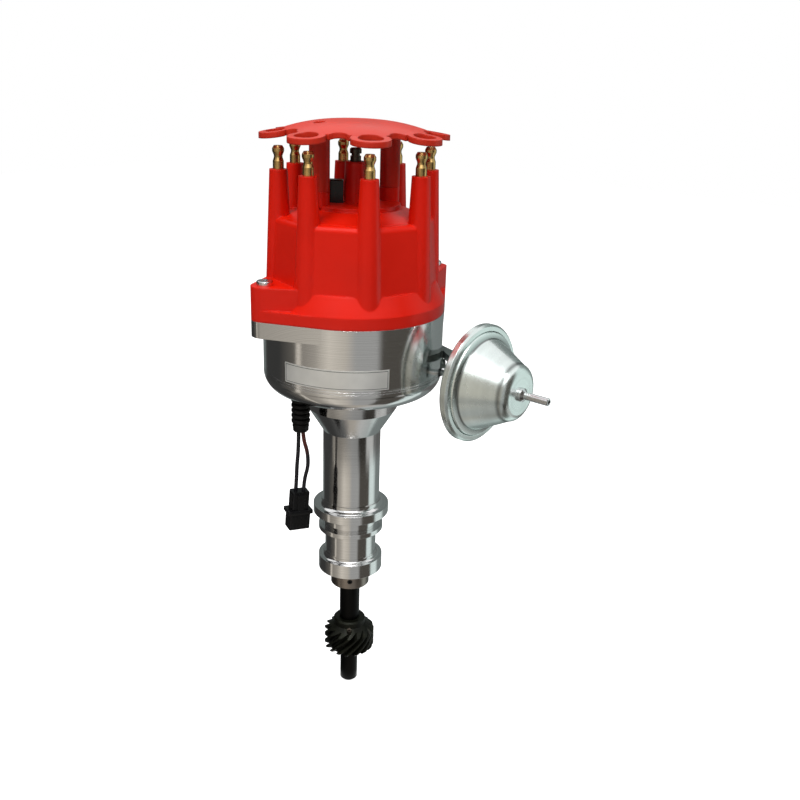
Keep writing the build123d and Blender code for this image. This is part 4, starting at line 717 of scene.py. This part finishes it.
class DISTRIBUTOR_OT_coils(Step, bpy.types.Operator):
    """Wound springs of the canister and the advance, and the pickup's winding"""

    bl_idname = "distributor.coils"
    bl_label = "Springs and winding"

    def build(self, context, sizes, colours):
        steel = skinned("Spring steel", colours.bright, 1.0, 0.22, 2500.0, 0.00001, 0.0001, 150.0, 0.12)
        enamel = skinned("Enamelled wire", colours.copper, 0.7, 0.28, 2500.0, 0.00001, 0.0001, 200.0, 0.18)
        low, high, middle = box_of("canister_spring")
        wire = sizes.return_wire / 2
        length = high.x - low.x - 2 * wire
        start = Vector((low.x + wire, middle.y, middle.z))
        spring = grown(
            context, "canister_spring_coil", along_line(start, (1, 0, 0)), Turns=6.5,
            Coil_radius=(high.z - low.z) / 2 - wire, Length=length, Wire_radius=wire, Material=steel,
        )
        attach(spring, "housing")
        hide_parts("canister_spring")
        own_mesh(spring)
        for node in ("spring_a", "spring_b"):
            self.advance_spring(context, sizes, node, steel)
        way = heading(sizes.pickup_turn)
        start = way * sizes.winding_start + Vector((0, 0, sizes.pickup_height))
        winding = grown(
            context, "pickup_winding", along_line(start, way), Turns=19.0, Coil_radius=sizes.winding_radius,
            Length=sizes.winding_length, Wire_radius=0.00018, Steps_per_turn=20, Material=enamel,
        )
        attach(winding, "plate")

    def advance_spring(self, context, sizes, node, steel):
        """One tension spring, with straight hooks out to its pin and its post."""
        side = 1 if node == "spring_a" else -1
        start = Vector((sizes.weight_pin_reach * side, 0, 0))
        finish = heading(sizes.cam_ear_turn) * sizes.cam_ear_reach * side
        start.z = finish.z = box_of(node)[2].z
        way = (finish - start).normalized()
        radius, wire, hook = sizes.advance_coil, sizes.advance_wire / 2, sizes.advance_hook
        length = (finish - start).length - 2 * hook
        spring = grown(
            context, f"{node}_coil", along_line(start + way * hook, way), Turns=13.0, Coil_radius=radius - wire,
            Length=length, Wire_radius=wire, Steps_per_turn=20, Material=steel,
        )
        form = bmesh.new()
        form.from_mesh(spring.data)
        across = Vector((-way.y, way.x, 0))
        for centre, toward, eye in ((finish, -way, sizes.post_eye), (start, way, sizes.hook_eye)):
            points = [
                centre + toward * hook * 1.05 + across * (radius - wire),
                centre + toward * hook * 0.85 + across * radius * 0.4,
            ]
            points += [centre + toward * eye * along + across * eye * aside for along, aside in EYE]
            joined(form, self.hook(points, wire))
        form.to_mesh(spring.data)
        form.free()
        smoothed(spring.data)
        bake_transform(spring)
        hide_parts(node)

    def hook(self, points, radius):
        """The mesh of a hook of bent wire through its control points."""
        curve = round_wire("hook_line", points, radius, rings=3)
        curve.use_fill_caps = True
        holder = bpy.data.objects.new("hook_line", curve)
        bent = bpy.data.meshes.new_from_object(holder)
        bpy.data.objects.remove(holder)
        bpy.data.curves.remove(curve)
        return bent


class DISTRIBUTOR_OT_grommet(Step, bpy.types.Operator):
    """Ribbed rubber grommet under the bowl"""

    bl_idname = "distributor.grommet"
    bl_label = "Grommet"

    def build(self, context, sizes, colours):
        low, high, middle = box_of("grommet")
        middle.z = 0
        foot, bowl = low.z, sizes.bowl_bottom
        # Radius and height in millimetres: up from the foot, then one rib in shares of the pitch, then the head
        cuff = ((3.2, 0), (4.0, 0), (4.5, 0.6), (4.6, 1.6), (4.5, 2.6), (4.8, 3.0), (4.8, 4.2), (4.5, 4.6))
        rib = (
            (3.4, 0), (3.6, 0.16), (5.2, 0.20), (5.4, 0.32), (5.4, 0.68), (5.1, 0.80), (3.6, 0.86), (3.4, 0.98),
        )
        head = ((4.5, -1.8), (5.3, -1.5), (5.5, -0.6), (4.8, 0), (2.6, 0))
        top, ribs = foot + 0.005, 5
        pitch = (bowl - top) / ribs
        outline = [(radius / 1000, foot + height / 1000) for radius, height in cuff]
        for index in range(ribs):
            outline += [(radius / 1000, top + (index + share) * pitch) for radius, share in rib]
        outline += [(0.0042, bowl), (0.0045, bowl + 0.0005)]
        outline += [(radius / 1000, high.z + height / 1000) for radius, height in head]
        grommet = lathe(context, "grommet_ribs", outline, Matrix.Translation(middle), bpy.data.materials["Rubber"])
        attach(grommet, "housing")
        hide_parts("grommet")


class DISTRIBUTOR_OT_plug(Step, bpy.types.Operator):
    """Moulded two way plug with its collar, ribs and latch"""

    bl_idname = "distributor.plug"
    bl_label = "Signal plug"

    def build(self, context, sizes, colours):
        top = hang_point(sizes, *on_plug(0, 0))
        rise = (hang_point(sizes, *on_plug(0, 1)) - top).normalized()
        across = (hang_point(sizes, *on_plug(1, 0)) - top).normalized()
        depth = rise.cross(across).normalized()
        turned = Matrix.Rotation(sizes.plug_turn, 3, rise)
        across, depth = turned @ across, turned @ depth
        # Across, out, width, depth, top and foot of each block, in millimetres
        blocks = [
            (0.0, 0.0, 10.4, 7.2, 0.0, -11.8), (0.0, 0.0, 15.3, 10.0, -11.6, -14.2),
            (0.0, 0.0, 12.8, 8.4, -14.0, -24.3), (0.0, -3.9, 4.2, 1.2, -2.2, -11.7),
            (0.0, -3.9, 5.4, 1.9, -1.4, -2.8), (0.0, 4.0, 3.0, 0.8, -1.0, -11.7),
        ]
        grip_ribs, side_ribs = (-4.4, -2.2, 0.0, 2.2, 4.4), (-5.3, 5.3)
        blocks += [(spot, -4.35, 0.9, 0.7, -15.6, -23.8) for spot in grip_ribs]
        blocks += [(spot, 0.0, 0.7, 3.6, -2.0, -11.7) for spot in side_ribs]
        form = bmesh.new()
        for middle, near, width, thick, high, low in blocks:
            part = bmesh.new()
            bmesh.ops.create_cube(part, size=1.0)
            for vert in part.verts:
                place = Vector((middle, near, (high + low) / 2))
                local = place + Vector((vert.co.x * width, vert.co.y * thick, vert.co.z * (high - low)))
                vert.co = top + (across * local.x + depth * local.y + rise * local.z) / 1000
            edge = 0.0007 if min(width, thick) > 3 else 0.0002  # large blocks, small ribs
            bmesh.ops.bevel(part, geom=part.edges[:], offset=edge, segments=2, affect="EDGES", profile=0.6)
            mesh = bpy.data.meshes.new("plug_block")
            part.to_mesh(mesh)
            part.free()
            joined(form, mesh)
        plug = piece_of(context, "plug_body", form, bpy.data.materials["Black plastic"])
        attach(plug, "housing")
        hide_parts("plug")


# Stage: degrees round from the camera's side, grey level and tint of the cards
WARM, PLAIN, COOL = (1.0, 0.92, 0.80), (1.0, 1.0, 0.97), (0.88, 1.0, 0.97)
HIGH_CARDS = (
    (-180, 0.16, COOL), (-145, 0.18, COOL), (-135, 0.04, PLAIN), (-100, 0.04, PLAIN), (-72, 0.12, WARM),
    (-70, 0.62, WARM), (-65, 0.62, WARM), (-63, 0.25, WARM), (-45, 0.36, WARM), (-28, 0.65, WARM), (-8, 0.52, WARM),
    (3, 0.36, PLAIN), (28, 0.36, PLAIN), (35, 0.08, WARM), (72, 0.08, WARM), (78, 0.80, COOL), (100, 0.85, COOL),
    (112, 0.24, COOL), (180, 0.18, COOL),
)
SHANK_CARDS = (
    (-180, 0.14, PLAIN), (-150, 0.05, PLAIN), (-84, 0.04, PLAIN), (-74, 0.28, WARM), (-50, 0.20, WARM),
    (-30, 0.25, WARM), (0, 0.28, PLAIN), (22, 0.25, PLAIN), (29, 0.03, WARM), (55, 0.04, WARM), (62, 0.52, PLAIN),
    (84, 0.50, PLAIN), (98, 0.18, PLAIN), (120, 0.12, PLAIN), (180, 0.14, PLAIN),
)
FLOOR_CARDS = (
    (-180, 0.10, COOL), (-110, 0.05, PLAIN), (-60, 0.12, PLAIN), (-15, 0.40, WARM), (20, 0.42, WARM),
    (60, 0.50, PLAIN), (120, 0.40, COOL), (180, 0.12, COOL),
)
# Where each ring of cards takes over from the one inside it: nearer and farther edge, in metres from the axis
CARD_RINGS = ((HIGH_CARDS, 0.09, 0.12), (SHANK_CARDS, 0.235, 0.25), (HIGH_CARDS, 0.305, 0.32))
# Signs of a rectangle's corners, in order
CORNERS = ((-1, -1), (1, -1), (1, 1), (-1, 1))
# Area lamps: name, turn in degrees, height, distance, width, height of the lamp, watts
LAMPS = (
    ("Key", -95, 1.25, 0.75, 0.8, 0.8, 14.5),
    ("Fill", 0, 1.15, 0.8, 0.8, 0.8, 8.5),
    ("Top", -58, 1.2, 0.35, 0.25, 0.25, 3.5),
    ("Back", 132, 1.0, 1.0, 0.8, 0.8, 5.0),
)


class DISTRIBUTOR_OT_stage(Step, bpy.types.Operator):
    """Pale floor, soft lamps, world and camera"""

    bl_idname = "distributor.stage"
    bl_label = "Stage and camera"

    def build(self, context, sizes, colours):
        self.floor(context, sizes)
        self.world(context)
        self.cards(context, sizes)
        self.highlight(context, sizes)
        self.lamps(context)
        self.camera(context, sizes)
        context.scene.view_settings.view_transform = "Standard"

    def floor(self, context, sizes):
        reach, level = 2.5, -sizes.floor_level
        corners = [(x * reach, y * reach, level) for x, y in CORNERS]
        floor, tree, output = self.backdrop(context, "floor", "Floor", corners, [(0, 1, 2, 3)])
        grey, glow = 0.6, 0.93
        diffuse = node_of(tree, "ShaderNodeBsdfDiffuse", "BSDF", Color=(grey, grey, grey, 1))
        strength = maths(tree, "MULTIPLY", self.seen_rays(tree), glow)
        white = node_of(tree, "ShaderNodeEmission", "Emission", Strength=strength, Color=(1, 1, 1, 1))
        total = node_of(tree, "ShaderNodeAddShader", "Shader", {0: diffuse, 1: white})
        tree.links.new(total, output.inputs["Surface"])

    def backdrop(self, context, name, paint, verts, faces):
        """A mesh of the stage with an empty node material, its tree and its output."""
        mesh = bpy.data.meshes.new(name)
        mesh.from_pydata(verts, [], faces)
        piece = bpy.data.objects.new(name, mesh)
        context.collection.objects.link(piece)
        material = bpy.data.materials.new(paint)
        material.use_nodes = True
        material.node_tree.nodes.clear()
        mesh.materials.append(material)
        return piece, material.node_tree, material.node_tree.nodes.new("ShaderNodeOutputMaterial")

    def world(self, context):
        world = bpy.data.worlds.new("Studio")
        context.scene.world = world
        world.use_nodes = True
        tree = world.node_tree
        tree.nodes.clear()
        output = tree.nodes.new("ShaderNodeOutputWorld")
        ambient, seen = 0.12, 1.0
        strength = node_of(
            tree, "ShaderNodeMapRange", "Result", Value=self.seen_rays(tree), To_Min=ambient, To_Max=seen
        )
        sky = node_of(tree, "ShaderNodeBackground", "Background", Strength=strength, Color=(1, 1, 1, 1))
        tree.links.new(sky, output.inputs["Surface"])

    def seen_rays(self, tree):
        """One for the rays that see the background: camera, glossy and transmission rays."""
        path = tree.nodes.new("ShaderNodeLightPath")
        seen = maths(tree, "MAXIMUM", path.outputs["Is Camera Ray"], path.outputs["Is Glossy Ray"])
        return maths(tree, "MAXIMUM", seen, path.outputs["Is Transmission Ray"])

    def cards(self, context, sizes):
        """Graded cards that stand round the object, as one dish of rings: distance and height of each."""
        steps = 96
        rings = ((0.01, -0.1247), (0.13, -0.12), (0.40, 0.02), (0.46, 0.42))
        verts = [
            heading(math.tau * index / steps) * reach + Vector((0, 0, height))
            for reach, height in rings
            for index in range(steps)
        ]
        faces = []
        for low in range(0, steps * (len(rings) - 1), steps):
            for index in range(steps):
                after = (index + 1) % steps
                faces.append((low + index, low + after, low + steps + after, low + steps + index))
        cards, tree, output = self.backdrop(context, "cards", "Graded cards", verts, faces)
        place = node_of(tree, "ShaderNodeTexCoord", "Object")
        turned = node_of(tree, "ShaderNodeVectorRotate", "Vector", Vector=place, Angle=-sizes.camera_turn)
        turned.node.rotation_type = "Z_AXIS"
        east = node_of(tree, "ShaderNodeSeparateXYZ", "X", Vector=turned)
        north = east.node.outputs["Y"]
        share = maths(tree, "ADD", maths(tree, "DIVIDE", maths(tree, "ARCTAN2", north, east), math.tau), 0.5)
        squares = (maths(tree, "MULTIPLY", way, way) for way in (east, north))
        reach = maths(tree, "SQRT", maths(tree, "ADD", *squares))
        colour = self.tones(tree, share, FLOOR_CARDS)
        for tones, near, far in CARD_RINGS:
            blend = node_of(tree, "ShaderNodeMapRange", "Result", Value=reach, From_Min=near, From_Max=far)
            colour = colour_mix(tree, blend, colour, self.tones(tree, share, tones))
        glow = node_of(tree, "ShaderNodeEmission", "Emission", Color=colour)
        tree.links.new(glow, output.inputs["Surface"])
        self.gloss_only(cards)

    def gloss_only(self, card):
        """A card of the stage that shows in gloss alone."""
        card.data.materials[0].cycles.emission_sampling = "NONE"
        for ray in ("camera", "diffuse", "shadow", "transmission"):
            setattr(card, f"visible_{ray}", False)

    def highlight(self, context, sizes):
        """A bright card high in front, for the glints on the cap's shoulders."""
        reach, height, half, tall, level = 0.8, 1.0, 0.45, 0.4, 2.2
        way = heading(sizes.camera_turn)
        side = Vector((-way.y, way.x, 0))
        middle = way * reach + Vector((0, 0, height))
        shoulder = Vector((0, 0, 0.15))
        facing = (shoulder - middle).normalized()
        up = side.cross(facing)
        corners = [tuple(middle + side * half * x + up * tall * y) for x, y in CORNERS]
        card, tree, output = self.backdrop(context, "highlight", "Highlight card", corners, [(0, 1, 2, 3)])
        glow = node_of(tree, "ShaderNodeEmission", "Emission", Strength=level)
        tree.links.new(glow, output.inputs["Surface"])
        self.gloss_only(card)

    def tones(self, tree, share, cards):
        """The colours of one ring of cards."""
        ramp = tree.nodes.new("ShaderNodeValToRGB")
        elements = ramp.color_ramp.elements
        elements.remove(elements[1])
        for index, (degrees, level, colour) in enumerate(cards):
            spot = degrees / 360 + 0.5
            stop = elements[0] if index == 0 else elements.new(spot)
            stop.position = spot
            stop.color = (*tint(colour, level), 1.0)
        tree.links.new(share, ramp.inputs["Fac"])
        return ramp.outputs["Color"]

    def lamps(self, context):
        """Area lamps that face the shank; only the small top one shows in gloss."""
        target = Vector((0, 0, 0.06))
        for name, turn, height, reach, width, tall, power in LAMPS:
            lamp = bpy.data.lights.new(name, "AREA")
            lamp.shape = "RECTANGLE"
            lamp.size = width
            lamp.size_y = tall
            lamp.energy = power
            holder = bpy.data.objects.new(name, lamp)
            holder.location = heading(math.radians(turn)) * reach + Vector((0, 0, height))
            holder.rotation_euler = (target - holder.location).to_track_quat("-Z", "Y").to_euler()
            holder.visible_camera = False
            holder.visible_glossy = name == "Top"
            context.collection.objects.link(holder)

    def camera(self, context, sizes):
        yaw, pitch, roll = sizes.camera_yaw, sizes.camera_pitch, sizes.camera_roll
        forward = Vector((math.sin(yaw) * math.cos(pitch), math.cos(yaw) * math.cos(pitch), -math.sin(pitch)))
        level = Vector((math.cos(yaw), -math.sin(yaw), 0))
        down = forward.cross(level)
        right = level * math.cos(roll) + down * math.sin(roll)
        below = down * math.cos(roll) - level * math.sin(roll)
        place = heading(sizes.camera_turn) * sizes.camera_reach
        place.z = sizes.camera_height
        data = bpy.data.cameras.new("Camera")
        data.sensor_width = 36.0
        data.lens = 42.98
        camera = bpy.data.objects.new("Camera", data)
        facing = Matrix((right, -below, -forward)).transposed().to_4x4()
        camera.matrix_world = Matrix.Translation(place) @ facing
        context.collection.objects.link(camera)
        context.scene.camera = camera


class DISTRIBUTOR_PT_panel(bpy.types.Panel):
    """Distributor tools in the sidebar"""

    bl_label = "Distributor"
    bl_idname = "DISTRIBUTOR_PT_panel"
    bl_space_type = "VIEW_3D"
    bl_region_type = "UI"
    bl_category = "Distributor"

    def draw(self, context):
        layout = self.layout
        for settings in (context.scene.distributor_colours, context.scene.distributor_sizes):
            box = layout.box()
            for name in settings.__annotations__:
                box.prop(settings, name)
        for operator in OPERATORS:
            layout.operator(operator.bl_idname)


# In the order in which main() runs them
OPERATORS = (
    DISTRIBUTOR_OT_groups,
    DISTRIBUTOR_OT_finishes,
    DISTRIBUTOR_OT_canister,
    DISTRIBUTOR_OT_grommet,
    DISTRIBUTOR_OT_plug,
    DISTRIBUTOR_OT_coils,
    DISTRIBUTOR_OT_leads,
    DISTRIBUTOR_OT_label,
    DISTRIBUTOR_OT_stage,
)
CLASSES = (DistributorColours, DistributorSizes, *OPERATORS, DISTRIBUTOR_PT_panel)


def register():
    for cls in CLASSES:
        bpy.utils.register_class(cls)
    bpy.types.Scene.distributor_colours = bpy.props.PointerProperty(type=DistributorColours)
    bpy.types.Scene.distributor_sizes = bpy.props.PointerProperty(type=DistributorSizes)


def unregister():
    del bpy.types.Scene.distributor_sizes
    del bpy.types.Scene.distributor_colours
    for cls in reversed(CLASSES):
        bpy.utils.unregister_class(cls)


def main():
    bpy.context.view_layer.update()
    register()
    for operator in OPERATORS:
        getattr(bpy.ops.distributor, operator.bl_idname.split(".")[1])()


if __name__ == "__main__":
    main()
